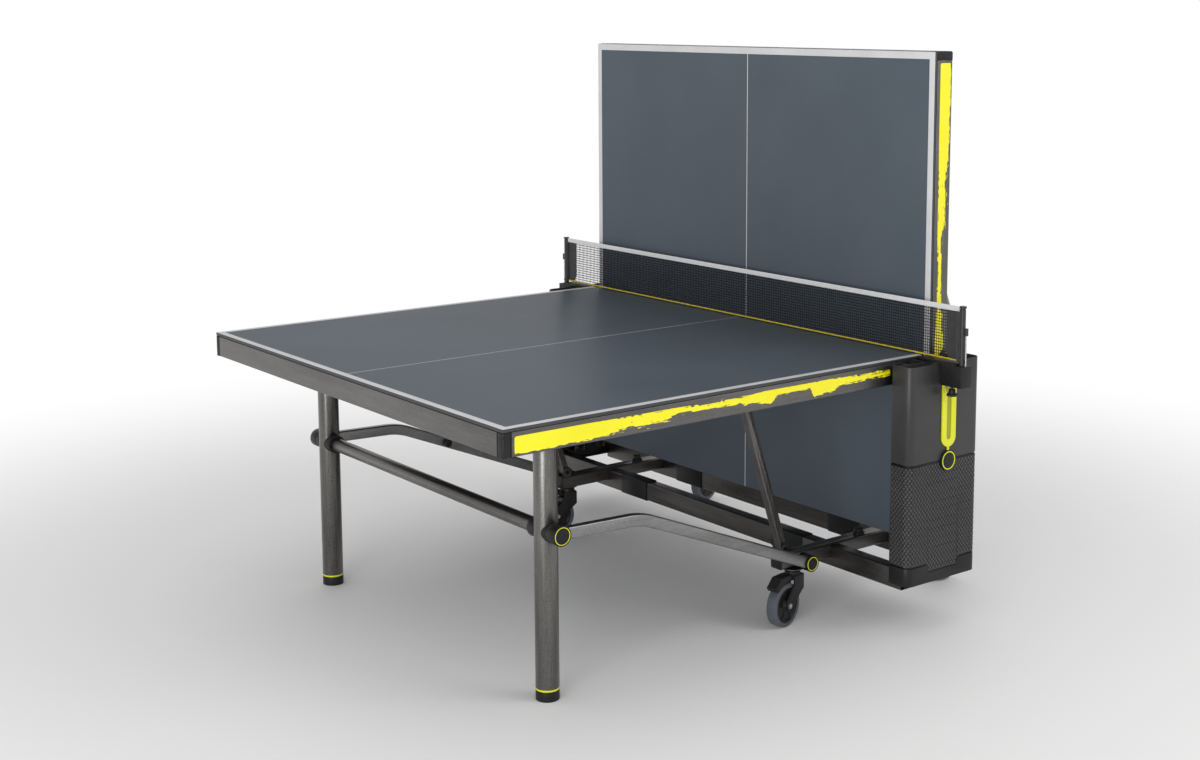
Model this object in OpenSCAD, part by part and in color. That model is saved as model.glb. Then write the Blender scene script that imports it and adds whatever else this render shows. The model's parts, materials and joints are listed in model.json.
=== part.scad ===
// Folding table-tennis table: one half set for play and one half stood upright, on a wheeled undercarriage.
// Origin: on the floor, at the centre of the whole object's footprint. +Z up, +Y along the net.

/* [Playing surface] */
// Height of the playing surface above the floor
surface_z = 760; // [700:1:800]
// Length of one half, from the net line to the end edge
half_len = 1370; // [1200:5:1500]
// Width of the table
table_w = 1525; // [1400:5:1600]
// Gap between the net line and a half's net edge
net_gap = 6; // [3:1:10]
// Thickness of the board
board_t = 22; // [18:1:25]
// Height of the board's edge that shows above the apron
edge_show = 9; // [6:1:12]
// Depth from the playing surface to the apron's bottom edge
apron_h = 68; // [60:1:80]

/* [Upright half] */
// Distance from the net line to the upright half's playing surface
stow_x = 22; // [15:1:30]
// Height of the upright half's net edge above the floor
stow_z = 213; // [205:1:220]

/* [Legs] */
// Distance from the net line to the leg axis
leg_s = 1117; // [1080:1:1150]
// Distance from the table's middle to the leg's centre
leg_y = 561; // [500:1:600]
// Diameter of a leg
leg_d = 60; // [50:1:62]
// Depth of the leg's hinge below the playing surface
leg_hinge_h = 60; // [50:1:64]
// Height of the leg hub and the crossbar above the floor
hub_z = 432; // [400:1:450]
// Diameter of the crossbar between the legs
bar_d = 38; // [30:1:42]

/* [Struts and braces] */
// Distance from the net line to the base hub
base_hub_x = 244; // [243:0.5:246]
// Height of the base hub above the floor
base_hub_z = 173; // [172:0.5:174]
// Strut section height
strut_h = 32; // [26:1:36]
// Strut section thickness
strut_t = 22; // [16:1:26]
// Distance from the net line to the strut's bend
bend_x = 861; // [800:1:900]
// Height of the strut's bend above the floor
bend_z = 424; // [400:1:430]
// Distance from the net line to the brace's foot
brace_foot_x = 300; // [290:1:310]
// Height of the brace's foot above the floor
brace_foot_z = 212; // [211:1:216]
// Distance from the net line to the brace's upper pivot
brace_top_s = 457; // [440:1:480]
// Depth of the brace's upper pivot below the playing surface
brace_top_h = 70; // [50:1:80]
// Brace section, square
brace_w = 25; // [20:1:30]

/* [Undercarriage] */
// Distance from the net line to a beam's outer face
beam_x = 135; // [130:1:138]
// Beam section along the table
beam_w = 40; // [30:1:45]
// Underside of the beams
beam_z0 = 134; // [120:1:140]
// Beam section height
beam_h = 58; // [50:1:60]
// Centre of the cross tube, from the table's middle
cross_y = 524; // [515:1:525]
// Cross tube section
cross_w = 44; // [36:1:46]
// Wall of the steel tubes
tube_t = 2; // [1.5:0.5:3]

/* [Side boxes] */
// Half the length of a side box along the table
box_x = 138; // [130:1:145]
// Inner face of a side box, from the table's middle
box_y0 = 778; // [776:1:780]
// Outer face of a side box, from the table's middle
box_y1 = 846; // [840:1:860]
// Corner radius of a side box
box_r = 22; // [10:1:24]
// Underside of the side boxes
box_z0 = 147; // [140:1:150]
// Seam between the base shell and the lower bin
base_seam_z = 198; // [190:1:205]
// Seam between the lower and the upper bin
bin_seam_z = 484; // [470:1:500]
// Rim of the upper bin
bin_top_z = 752; // [745:1:755]
// Wall of the plastic shells
wall = 3; // [2:0.5:4]

/* [Net] */
// Height of the net's top above the playing surface
net_h = 152.5; // [150:0.5:155]
// Distance from the table's middle to a net post
post_y = 909; // [900:1:915]
// Diameter of a net post
post_d = 16; // [12:1:20]
// Offset of the net plane from the net line
net_dx = -10; // [-12:1:-8]

/* [Casters] */
// Caster wheel diameter
wheel_d = 124; // [115:1:125]
// Caster wheel width
wheel_w = 32; // [26:1:34]
// Distance from the net line to a caster's swivel axis
caster_x = 274; // [270:1:280]
// Distance from the table's middle to a caster's swivel axis
caster_y = 540; // [536:1:544]
// Trail of a caster
trail = 45; // [40:1:50]
// Turn of the casters at rest, in degrees
caster_turn = 13; // [0:1:20]

/* [Hidden] */
$fn = 48;
eps = 0.01;

// The net line's place along X, which centres the footprint on the origin
net_x = 494.4;
half_w = table_w / 2;

// Pivots in a half's own frame: s out from the net line, z up from the playing surface
leg_pivot = [leg_s, -leg_hinge_h];
brace_pivot = [brace_top_s, -brace_top_h];
slide_pivot = [62, -40];
// The base hub seen from the upright half's leg hinge
hub_dx = base_hub_x - (stow_x + leg_hinge_h);
hub_dz = base_hub_z - (stow_z + leg_s);
hub_reach = norm([hub_dx, hub_dz]);
leg_drop = surface_z - leg_hinge_h - hub_z;
strut_len = norm([leg_s - base_hub_x, hub_z - base_hub_z]);
// The angle at the leg's hinge between the leg and the line to the base hub, with the half upright
fold_cos = (leg_drop * leg_drop + hub_reach * hub_reach - strut_len * strut_len) / (2 * leg_drop * hub_reach);
// The folded leg's lean away from the upright half
leg_lean = atan2(hub_dx, -hub_dz) + acos(fold_cos);
leg_turn = 90 - leg_lean;
// The upright half's leg hub and the strut's turn about the base hub
stow_hub_x = stow_x + leg_hinge_h + leg_drop * sin(leg_lean);
stow_hub_z = stow_z + leg_s - leg_drop * cos(leg_lean);
strut_turn = atan2(leg_s - base_hub_x, hub_z - base_hub_z)
  - atan2(stow_hub_x - base_hub_x, stow_hub_z - base_hub_z);
// The brace's lean from the vertical about its foot, with the half flat and upright
brace_flat = atan2(brace_top_s - brace_foot_x, surface_z - brace_top_h - brace_foot_z);
brace_stow = atan2(stow_x + brace_top_h - brace_foot_x, stow_z + brace_top_s - brace_foot_z);
brace_len = norm([brace_top_s - brace_foot_x, surface_z - brace_top_h - brace_foot_z]);

steel = [0.40, 0.38, 0.35];
dark_steel = [0.24, 0.22, 0.21];
black = [0.09, 0.09, 0.09];
charcoal = [0.28, 0.28, 0.29];
lime = [0.85, 0.88, 0.10];
slate = [0.27, 0.30, 0.33];

// ---- Outlines ----

module rounded(w, h, r) {
  square([w - 2 * r, h], center = true);
  square([w, h - 2 * r], center = true);
  for (x = [-1, 1], y = [-1, 1])
    translate([x * (w / 2 - r), y * (h / 2 - r)]) circle(r);
}

module tube_outline(w, h, r, t) {
  difference() {
    rounded(w, h, r);
    rounded(w - 2 * t, h - 2 * t, max(r - t, 0.5));
  }
}

// A bar along Y from y0 to y1, with children drawn in the X-Z plane
module along_y(y0, y1) {
  translate([0, y1, 0]) rotate([90, 0, 0]) linear_extrude(y1 - y0) children();
}

// A bar along X from x0 to x1, with children drawn in the Y-Z plane
module along_x(x0, x1) {
  translate([x0, 0, 0]) rotate([90, 0, 90]) linear_extrude(x1 - x0) children();
}

module rod_y(x, z, y0, y1, d) {
  translate([x, y1, z]) rotate([90, 0, 0]) cylinder(d = d, h = y1 - y0);
}

// ---- Places ----

// A half's own frame set down flat for play, on the -X side
module flat_place() {
  translate([net_x, 0, surface_z]) rotate([0, 0, 180]) children();
}

// A half's own frame stood upright, on the +X side
module stow_place() {
  translate([net_x + stow_x, 0, stow_z]) rotate([0, -90, 0]) children();
}

// The undercarriage's frame, on the net line at the floor; side -1 turns it to face the flat half
module base_place(side = 1) {
  translate([net_x, 0, 0]) rotate([0, 0, side > 0 ? 0 : 180]) children();
}

module both_sides() {
  for (k = [-1, 1]) scale_y(k) children();
}

module scale_y(k) {
  if (k > 0) children();
  else mirror([0, 1, 0]) children();
}

// ---- One half, in its own frame ----

slide_pin_d = 12;
brace_y0 = 509;
rail_y = half_w;
cap = 25;
rail_t = 2.5;

module half_top() {
  color(slate) {
    translate([net_gap, -half_w + 1, -edge_show]) cube([half_len - net_gap - 1, table_w - 2, edge_show]);
    translate([net_gap + 20, -half_w + 6, -board_t])
      cube([half_len - net_gap - 26, table_w - 12, board_t - edge_show + eps]);
  }
}

// An apron's section: face to the right at x = 0, with a shelf under the board and a lip at the bottom
module apron_section() {
  shelf = cap - 0.5;
  lip = 24;
  polygon([[0, -edge_show - 1], [0, -apron_h], [-lip, -apron_h], [-lip, -apron_h + rail_t],
    [-rail_t, -apron_h + rail_t], [-rail_t, -board_t - rail_t - 0.5], [-shelf, -board_t - rail_t - 0.5],
    [-shelf, -board_t - 0.5], [-rail_t, -board_t - 0.5], [-rail_t, -edge_show - 1]]);
}

module half_side_rails() {
  color(steel)
    both_sides()
      difference() {
        translate([0, rail_y, 0]) along_x(net_gap + cap, half_len - cap) apron_section();
        rod_y(slide_pivot[0], slide_pivot[1], rail_y - 10, rail_y + 10, slide_pin_d + 0.2);
      }
}

module half_end_rail() {
  color(steel)
    translate([half_len, 0, 0]) along_y(-rail_y + cap, rail_y - cap) apron_section();
}

module half_net_rail() {
  rail_d = 30;
  color(steel)
    translate([net_gap + 14 + rail_d / 2, 0, -board_t - 1.5 - rail_d / 2])
      along_y(-rail_y + cap + 1, rail_y - cap - 1) tube_outline(rail_d, rail_d, 3, tube_t);
  // Hinge plates that hold the slide pins
  color(steel)
    both_sides()
      difference() {
        translate([slide_pivot[0] - 14, 727, -62]) cube([28, 6, 39]);
        rod_y(slide_pivot[0], slide_pivot[1], 726, 734, slide_pin_d + 0.1);
      }
}

module corner_block(w, d) {
  h = apron_h - edge_show - 1;
  translate([0, 0, -apron_h])
    linear_extrude(h) {
      square([w - 6, d]);
      square([w, d - 6]);
      translate([w - 6, d - 6]) circle(6);
    }
}

module half_corner_caps() {
  bite = 0.2;
  color(black)
    both_sides() {
      difference() {
        translate([half_len - cap + bite, rail_y - cap + bite, 0]) corner_block(cap - bite, cap - bite);
        translate([half_len - cap - 1, rail_y - cap - 1, -board_t - 0.5]) cube([20, 20, 20]);
      }
      difference() {
        translate([net_gap + cap - bite, rail_y - cap + bite, 0])
          mirror([1, 0, 0]) corner_block(cap - bite, cap - bite);
        translate([net_gap + 5, rail_y - cap - 1, -board_t - 0.5]) cube([21, 20, 20]);
      }
    }
}

// Stiffeners under the board, with the hinge ears for the legs and the braces
module half_under_frame() {
  run_y = 494;
  ear = 5;
  ear_gap = 1.5;
  color(dark_steel)
    both_sides() {
      translate([0, run_y, -board_t - 14.5]) along_x(net_gap + 56, half_len - 34) tube_outline(40, 26, 4, tube_t);
      // leg hinge ears
      for (y = [leg_y - leg_d / 2 - ear_gap - ear, leg_y + leg_d / 2 + ear_gap])
        difference() {
          union() {
            translate([leg_s - 24, y, -leg_hinge_h]) cube([48, ear, leg_hinge_h - board_t - 1]);
            rod_y(leg_s, -leg_hinge_h, y, y + ear, 30);
          }
          rod_y(leg_s, -leg_hinge_h, y - 1, y + ear + 1, 14.1);
        }
      translate([leg_s - 24, run_y + 20, -board_t - 5]) cube([48, leg_y + leg_d / 2 + 6 - run_y - 20, 4]);
      // brace hinge ear
      difference() {
        union() {
          translate([brace_top_s - 18, run_y + 20, -board_t - 5]) cube([36, 32, 4]);
          translate([brace_top_s - 18, run_y + 47, -brace_top_h]) cube([36, ear, brace_top_h - board_t - 1]);
          rod_y(brace_top_s, -brace_top_h, run_y + 47, run_y + 52, 36);
        }
        rod_y(brace_top_s, -brace_top_h, run_y + 46, run_y + 54, 12.1);
      }
    }
}

// ---- Legs, in a half's own frame with the half flat ----

foot_h = 31;
collar_d = 52;
base_hub_d = 46;

module leg_column(d, z0, z1) {
  translate([leg_s, leg_y, z0]) cylinder(d = d, h = z1 - z0);
}

module half_legs() {
  z0 = foot_h + 0.5 - surface_z;
  plug = 8;
  color(steel)
    both_sides() {
      difference() {
        union() {
          difference() {
            leg_column(leg_d, z0, -leg_hinge_h);
            leg_column(leg_d - 2 * tube_t, z0 - 1, -leg_hinge_h - 30);
          }
          rod_y(leg_s, -leg_hinge_h, leg_y - 19, leg_y + 19, 46);
          rod_y(leg_s, -leg_hinge_h, leg_y - leg_d / 2 - 6, leg_y + leg_d / 2 + 6, 14);
        }
        rod_y(leg_s, hub_z - surface_z, leg_y - leg_d / 2 - 1, leg_y + leg_d / 2 + 1, bar_d + 0.1);
      }
      // threaded plug for the foot's stem
      difference() {
        leg_column(leg_d - 2 * tube_t - 0.02, z0 + 1, z0 + 1 + plug);
        leg_column(16.1, z0, z0 + plug + 2);
      }
    }
}

module half_leg_bar() {
  y1 = leg_y + leg_d / 2 + 3;
  color(steel)
    difference() {
      rod_y(leg_s, hub_z - surface_z, -y1, y1, bar_d);
      rod_y(leg_s, hub_z - surface_z, -y1 - 1, y1 + 1, bar_d - 2 * tube_t);
    }
}

// Collars where the crossbar meets the legs, and the bosses outside the legs, both saddled on the leg
module half_leg_collars() {
  z = hub_z - surface_z;
  color(black)
    both_sides() {
      difference() {
        rod_y(leg_s, z, leg_y - leg_d / 2 - 16, leg_y, collar_d);
        rod_y(leg_s, z, leg_y - leg_d / 2 - 17, leg_y + 1, bar_d + 0.1);
        leg_column(leg_d + 0.2, z - 60, z + 60);
      }
      difference() {
        rod_y(leg_s, z, leg_y, hub_y - 1, collar_d);
        rod_y(leg_s, z, leg_y - 1, leg_y + leg_d / 2 + 3.1, bar_d + 0.1);
        leg_column(leg_d + 0.2, z - 60, z + 60);
      }
    }
}

// One leg's foot: a round cap with a recessed ring, on a threaded stem
module foot(k) {
  color(black)
    translate([leg_s, k * leg_y, -surface_z]) {
      cylinder(d = leg_d, h = 26);
      cylinder(d = leg_d - 3, h = foot_h);
      cylinder(d = 16, h = foot_h + 36);
    }
}

// ---- Struts, about the base hub, in the undercarriage's frame ----

hub_y = leg_y + leg_d / 2 + 6;
strut_y0 = hub_y + strut_t / 2 + 1;
strut_y1 = 574;

// A solid bar between two points in the X-Z plane whose middle runs from ya to yb
module link(a, b, ya, yb, h, t) {
  d = b - a;
  translate([a[0], ya, a[1]])
    rotate([0, 0, atan2(yb - ya, d[0])])
      rotate([0, -atan2(d[1], norm([d[0], yb - ya])), 0])
        along_x(0, norm([d[0], yb - ya, d[1]])) rounded(t, h, 4);
}

// The bent bar, thinner all round by inset and longer at its ends by over
module strut_bar(inset, over) {
  a = [leg_s - 18 + over, hub_z - 1];
  bend = [bend_x, bend_z];
  b = [base_hub_x + 16 - over, base_hub_z + 5 - over * 0.4];
  h = strut_h - 2 * inset;
  t = strut_t - 2 * inset;
  link(a, bend, strut_y0, strut_y0, h, t);
  link(bend, b, strut_y0, strut_y1, h, t);
  rod_y(bend_x, bend_z, strut_y0 - t / 2, strut_y0 + t / 2, h);
}

// The leg hub and the bend sit at these places from the net line while the half is flat
module strut_shape() {
  color(steel)
    both_sides()
      difference() {
        strut_bar(0, 0);
        strut_bar(tube_t, 2);
      }
}

module hub_ring_cap(x, z, y0, y1, d) {
  difference() {
    rod_y(x, z, y0, y1, d);
    difference() {
      rod_y(x, z, y1 - 1.2, y1 + 1, d - 7);
      rod_y(x, z, y1 - 2, y1 + 2, d - 11);
    }
  }
}

knob_x = 700;

module strut_hub_shape() {
  socket = strut_t / 2 + 1;
  color(black)
    both_sides() {
      difference() {
        hub_ring_cap(leg_s, hub_z, hub_y, strut_y0 + socket + 11, collar_d);
        // socket that the strut's upper end stands in
        translate([leg_s - 67, strut_y0 - strut_t / 2 - 0.1, hub_z - strut_h / 2 - 2])
          cube([50, strut_t + 0.2, strut_h + 2]);
      }
      difference() {
        hub_ring_cap(base_hub_x, base_hub_z, strut_y1 - socket, strut_y1 + socket + 4, base_hub_d);
        // socket that the strut's lower end stands in, behind the hub's outer disc
        translate([base_hub_x + 9, strut_y1 - socket - 1, base_hub_z - 40]) cube([40, 2 * socket + 1.5, 80]);
      }
      // lock knob on the inner face of the strut
      rod_y(knob_x, bend_z - (bend_x - knob_x) * 0.42, strut_y0 - 34, strut_y0 - 22, 24);
    }
}

// ---- Braces, in a half's own frame with the half flat ----

module brace_shape() {
  lean = brace_flat;
  color(steel)
    both_sides()
      translate([brace_top_s, brace_y0 + brace_w / 2, -brace_top_h]) rotate([0, lean, 0])
        difference() {
          union() {
            translate([0, 0, -brace_len]) linear_extrude(brace_len) tube_outline(brace_w, brace_w, 4, tube_t);
            rod_y(0, 0, -brace_w / 2, brace_w / 2, brace_w);
            rod_y(0, -brace_len, -brace_w / 2, brace_w / 2, brace_w);
            rod_y(0, 0, brace_w / 2 - 1, brace_w / 2 + 18.5, 12);
          }
          rod_y(0, -brace_len, -brace_w, brace_w, 12);
        }
}

// ---- Carriages that run in the guide columns ----

column_y0 = 767;
column_y1 = 799;

module carriage_shape() {
  color(black)
    both_sides() {
      translate([slide_pivot[0], (column_y0 + column_y1) / 2 + 1, slide_pivot[1]])
        cube([33, 24, 70], center = true);
      rod_y(slide_pivot[0], slide_pivot[1], 727, 772, slide_pin_d);
      rod_y(slide_pivot[0], slide_pivot[1], 734, 737, 22);
    }
}

// ---- Undercarriage, in its own frame ----

module beam_cut() {
  for (y = [-1, 1])
    translate([-250, y * cross_y - cross_w / 2, beam_z0 + 24]) cube([500, cross_w, 100]);
}

module base_beams() {
  color(dark_steel)
    base_place()
      difference() {
        for (x = [-1, 1])
          translate([x * (beam_x - beam_w / 2), 0, beam_z0 + beam_h / 2])
            along_y(-820, 820) tube_outline(beam_w, beam_h, 5, tube_t);
        beam_cut();
      }
}

module cross_tubes() {
  z0 = beam_z0 + 24;
  reach = base_hub_x + 75;
  ear = 5;
  ear_gap = 0.8;
  color(dark_steel)
    base_place()
      both_sides() {
        translate([0, cross_y, z0 + 20]) along_x(-reach, reach) tube_outline(cross_w - 0.2, 40, 5, tube_t);
        // clevis plates that take the brace's foot, and the caster plates
        for (x = [-1, 1]) {
          difference() {
            translate([x * caster_x, cross_y + 14, z0 - 3]) cylinder(d = 62, h = 3);
            rod_y(x * base_hub_x, base_hub_z, cross_y + cross_w / 2 - 0.3, strut_y1 + 20, base_hub_d + 0.6);
          }
          for (y = [brace_y0 - ear_gap - ear, brace_y0 + brace_w + ear_gap])
            difference() {
              union() {
                translate([x * brace_foot_x - 14, y, z0 + 39]) cube([28, ear, brace_foot_z - z0 - 39]);
                rod_y(x * brace_foot_x, brace_foot_z, y, y + ear, 34);
              }
              rod_y(x * brace_foot_x, brace_foot_z, y - 1, y + ear + 1, 12);
            }
        }
      }
}

module base_hubs() {
  color(black)
    base_place()
      both_sides()
        for (x = [-1, 1])
          rod_y(x * base_hub_x, base_hub_z, cross_y + cross_w / 2, strut_y1 - strut_t / 2 - 2, base_hub_d);
}

module beam_pads() {
  pad_y0 = 300;
  pad_y1 = 430;
  color(black)
    base_place()
      for (x = [-1, 1], y = [-1, 1])
        translate([x * (beam_x - beam_w / 2), 0, beam_z0 + beam_h / 2])
          along_y(min(y * pad_y0, y * pad_y1), max(y * pad_y0, y * pad_y1))
            tube_outline(beam_w + 5, beam_h + 5, 6, 2.4);
}

module lock_knobs() {
  color(black)
    base_place()
      both_sides()
        translate([0, cross_y, beam_z0 + 64]) {
          cylinder(d = 34, h = 6);
          translate([0, 0, 6]) cylinder(d = 26, h = 12);
        }
}

module guide_columns() {
  w = 40;
  z1 = bin_top_z - 4;
  color(dark_steel)
    base_place()
      both_sides()
        translate([-slide_pivot[0] + w / 2 - 1, 785, z1 - 60]) cube([2 * slide_pivot[0] - w + 2, 5, 55]);
  color(dark_steel)
    base_place()
      both_sides()
        for (x = [-1, 1])
          translate([x * slide_pivot[0], 0, beam_z0 + beam_h])
            linear_extrude(z1 - beam_z0 - beam_h)
              difference() {
                translate([-w / 2, column_y0]) square([w, column_y1 - column_y0]);
                translate([-w / 2 + 2.5, column_y0 - 1]) square([w - 5, column_y1 - column_y0 - 1.5]);
              }
}

// A side box's outline in plan, rounded on its outer corners
module box_outline(inset) {
  w = box_x - inset;
  y0 = box_y0;
  y1 = box_y1 - inset;
  r = max(box_r - inset, 1);
  translate([-w, y0]) square([2 * w, y1 - y0 - r]);
  translate([-w + r, y0]) square([2 * w - 2 * r, y1 - y0]);
  for (x = [-1, 1]) translate([x * (w - r), y1 - r]) circle(r);
}

notch_x = 55;
notch_slope = 8;
notch_h = 22;

// The step in the base shell's rim
module base_notch(grow) {
  translate([0, 900, base_seam_z])
    rotate([90, 0, 0]) linear_extrude(200)
      polygon([[-notch_x - notch_slope - grow, 1], [-notch_x - grow, -notch_h + grow], [notch_x + grow, -notch_h + grow],
        [notch_x + notch_slope + grow, 1]]);
}

module bin_bases() {
  color(black)
    base_place()
      both_sides()
        difference() {
          translate([0, 0, box_z0]) linear_extrude(base_seam_z - box_z0 - 1) box_outline(0);
          translate([0, 0, box_z0 + wall]) linear_extrude(base_seam_z) box_outline(wall);
          base_notch(0);
          translate([-beam_x - 0.3, box_y0 - 1, beam_z0 - 1]) cube([2 * beam_x + 0.6, 44, beam_h + 1.3]);
        }
}

module lower_bins() {
  color(charcoal)
    base_place()
      both_sides()
        difference() {
          translate([0, 0, base_seam_z - notch_h + 1])
            linear_extrude(bin_seam_z - base_seam_z + notch_h - 2) box_outline(0);
          translate([0, 0, base_seam_z - notch_h - 1])
            linear_extrude(bin_seam_z - base_seam_z + notch_h - 4) box_outline(wall);
          // keeps the tongue that fills the base shell's step
          difference() {
            translate([-200, 700, base_seam_z - 60]) cube([400, 200, 60.5]);
            base_notch(-1);
          }
          translate([-100, box_y0 - 1, base_seam_z - 60]) cube([200, 24, 500]);
        }
}

slot_w = 54;

// A tray with an open top, cut back at the rear round the guide columns
module upper_bins() {
  floor_z = bin_seam_z + 20;
  color(charcoal)
    base_place()
      both_sides()
        difference() {
          translate([0, 0, bin_seam_z]) linear_extrude(bin_top_z - bin_seam_z) box_outline(0);
          translate([0, 0, floor_z])
            linear_extrude(bin_top_z)
              intersection() {
                box_outline(wall);
                translate([-200, 803]) square([400, 60]);
              }
          translate([-100, box_y0 - 1, bin_seam_z - 1]) cube([200, 24, 500]);
          for (x = [-1, 1])
            translate([x * 118 - 14, box_y0 - 1, bin_seam_z - 1]) cube([28, 18, 500]);
        }
}

// ---- Trim on the outer faces ----

trim_x = 10;
trim_top = bin_top_z - 14;
trim_low = 545;
badge_z = 480;
badge_d = 56;

// Slot inlay with a narrowing groove, and the thin stem down to the badge
module slot_trims() {
  y0 = box_y1 + 0.4;
  w = slot_w / 2;
  color(lime)
    base_place()
      both_sides()
        translate([trim_x, 0, 0]) {
          difference() {
            union() {
              along_y(y0, y0 + 5) translate([-w, trim_low]) square([slot_w, trim_top - trim_low]);
              rod_y(0, trim_low, y0, y0 + 5, slot_w);
            }
            along_y(y0 + 2.5, y0 + 6) translate([-9, trim_low + 2]) square([18, 118]);
            rod_y(0, trim_low + 2, y0 + 2.5, y0 + 6, 18);
            along_y(y0 + 2.5, y0 + 6)
              polygon([[-9, trim_low + 119], [9, trim_low + 119], [w - 5, trim_low + 150], [w - 5, trim_top - 6],
                [-w + 5, trim_top - 6], [-w + 5, trim_low + 150]]);
          }
          along_y(y0, y0 + 4)
            translate([-3.5, badge_z + badge_d / 2 + 0.2]) square([7, trim_low - badge_z - badge_d / 2 - 16]);
        }
}

module seam_badges() {
  y0 = box_y1 + 0.4;
  color(black)
    base_place()
      both_sides()
        hub_ring_cap(trim_x, badge_z, y0, y0 + 6, badge_d);
}

// ---- Net ----

net_top = surface_z + net_h;
net_low = surface_z + 6;
mesh_y = 856;

module net_posts() {
  color(black)
    base_place()
      both_sides()
        translate([net_dx, post_y, 744]) {
          cylinder(d = post_d, h = net_top - 744 + 2);
          // tension clip on the outer side
          translate([-5, post_d / 2 - 1, 92]) cube([10, 9, 18]);
          translate([-3, post_d / 2 + 2, 20]) cube([6, 4, 73]);
        }
}

// Arms that reach over the side boxes, and the clamp bodies outside them
module net_brackets() {
  arm_z = bin_top_z + 1.5;
  color(black)
    base_place()
      both_sides() {
        translate([net_dx - 20, 768, arm_z]) cube([40, post_y - 768 - post_d / 2 - 0.5, 5.5]);
        difference() {
          translate([net_dx - 21, box_y1 + 8, arm_z - 58]) cube([42, post_y + 16 - box_y1 - 8, 58]);
          translate([net_dx, post_y, arm_z - 60]) cylinder(d = post_d + 0.1, h = 80);
          translate([net_dx, post_y - 32, arm_z - 70]) cylinder(d = 10.1, h = 40);
        }
        translate([net_dx + 21, box_y1 + 22, arm_z - 52]) cube([4, 50, 46]);
        translate([net_dx - 20, 790.2, arm_z - 50]) cube([40, 4, 50 + eps]);
      }
}

module clamp_screw(k) {
  color(black)
    base_place()
      scale_y(k)
        translate([net_dx, post_y - 32, bin_top_z - 86]) {
          translate([0, 0, 20]) cylinder(d = 10, h = 36);
          cylinder(d = 30, h = 7);
          translate([0, 0, 7]) cylinder(d = 20, h = 13);
        }
}

module net_mesh() {
  color([0.12, 0.12, 0.13])
    base_place()
      translate([net_dx - 0.75, -mesh_y - 41, net_low + 3]) cube([1.5, 2 * mesh_y + 82, net_top - net_low - 10]);
}

module net_tape() {
  color([0.86, 0.86, 0.86])
    base_place()
      translate([net_dx - 2, -mesh_y - 42, net_top - 14])
        difference() {
          cube([4, 2 * mesh_y + 84, 14]);
          translate([1.1, -1, -1]) cube([1.8, 2 * mesh_y + 86, 11]);
        }
}

module net_cord() {
  color(lime)
    base_place()
      rod_y(net_dx, net_low, -mesh_y - 40, mesh_y + 40, 5);
}

// ---- Casters, about the swivel axis in the undercarriage's frame ----

axle_z = wheel_d / 2;

module caster_place(i) {
  sx = i < 2 ? -1 : 1;
  sy = (i == 0 || i == 3) ? -1 : 1;
  base_place()
    translate([sx * caster_x, sy * caster_y, 0])
      rotate([0, 0, (sx < 0 ? 180 : 0) + (sx * sy > 0 ? 1 : -1) * caster_turn])
        children();
}

module caster_fork(i) {
  t = 5;
  gap = wheel_w / 2 + 3;
  color(black)
    caster_place(i) {
      translate([0, 0, 140]) cylinder(d = 44, h = 9);
      translate([0, 0, 140]) cylinder(d = 28, h = 14.5);
      translate([-22, -gap - t, 132]) cube([44, 2 * gap + 2 * t, 8 + eps]);
      for (s = [-1, 1])
        translate([0, s > 0 ? gap : -gap - t, 0])
          difference() {
            translate([0, t, 0]) rotate([90, 0, 0]) linear_extrude(t)
              polygon([[-22, 140], [-22, 100], [trail - 15, axle_z - 4], [trail + 15, axle_z - 4], [trail + 16, axle_z + 10],
                [22, 118], [22, 140]]);
            translate([trail, -1, axle_z]) rotate([-90, 0, 0]) cylinder(d = 10.1, h = t + 2);
          }
    }
}

module caster_wheel(i) {
  color([0.25, 0.27, 0.30])
    caster_place(i)
      translate([trail, 0, axle_z]) rotate([90, 0, 0])
        difference() {
          union() {
            translate([0, 0, -wheel_w / 2 + 3]) cylinder(d = wheel_d, h = wheel_w - 6);
            translate([0, 0, -wheel_w / 2]) cylinder(d = wheel_d - 8, h = wheel_w);
            translate([0, 0, -wheel_w / 2 - 2]) cylinder(d = 26, h = wheel_w + 4);
            translate([0, 0, -wheel_w / 2 - 10]) cylinder(d = 10, h = wheel_w + 20);
          }
          for (s = [-1, 1])
            translate([0, 0, s * (wheel_w / 2 - 2.9) - 3])
              difference() {
                cylinder(d = wheel_d - 34, h = 6);
                translate([0, 0, -1]) cylinder(d = 40, h = 8);
              }
        }
}

// The brake pedal hinges between the fork's arms and bears on the tread when it is pressed
module caster_pedal(i) {
  color(black)
    caster_place(i)
      translate([0, 17, 0]) rotate([90, 0, 0]) linear_extrude(34) {
        translate([12, 129.4]) circle(d = 3.8);
        polygon([[12, 131.3], [12, 127.5], [30, 128.5], [45, 131.5], [72, 124.5], [93, 110], [102, 121], [74, 146],
          [28, 146], [23.5, 131.3]]);
      }
}

// ---- Nodes ----

module flat_top() flat_place() half_top();
module flat_side_rails() flat_place() half_side_rails();
module flat_end_rail() flat_place() half_end_rail();
module flat_net_rail() flat_place() half_net_rail();
module flat_corner_caps() flat_place() half_corner_caps();
module flat_under_frame() flat_place() half_under_frame();
module flat_legs() flat_place() half_legs();
module flat_leg_bar() flat_place() half_leg_bar();
module flat_leg_collars() flat_place() half_leg_collars();
module flat_foot_near() flat_place() foot(1);
module flat_foot_far() flat_place() foot(-1);
module flat_braces() flat_place() brace_shape();
module flat_carriage() flat_place() carriage_shape();
module flat_struts() base_place(-1) strut_shape();
module flat_strut_hubs() base_place(-1) strut_hub_shape();

// Turns a half's leg parts to their folded place about the leg's hinge
module fold_leg() {
  translate([leg_pivot[0], 0, leg_pivot[1]])
    rotate([0, leg_turn, 0])
      translate([-leg_pivot[0], 0, -leg_pivot[1]]) children();
}

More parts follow.
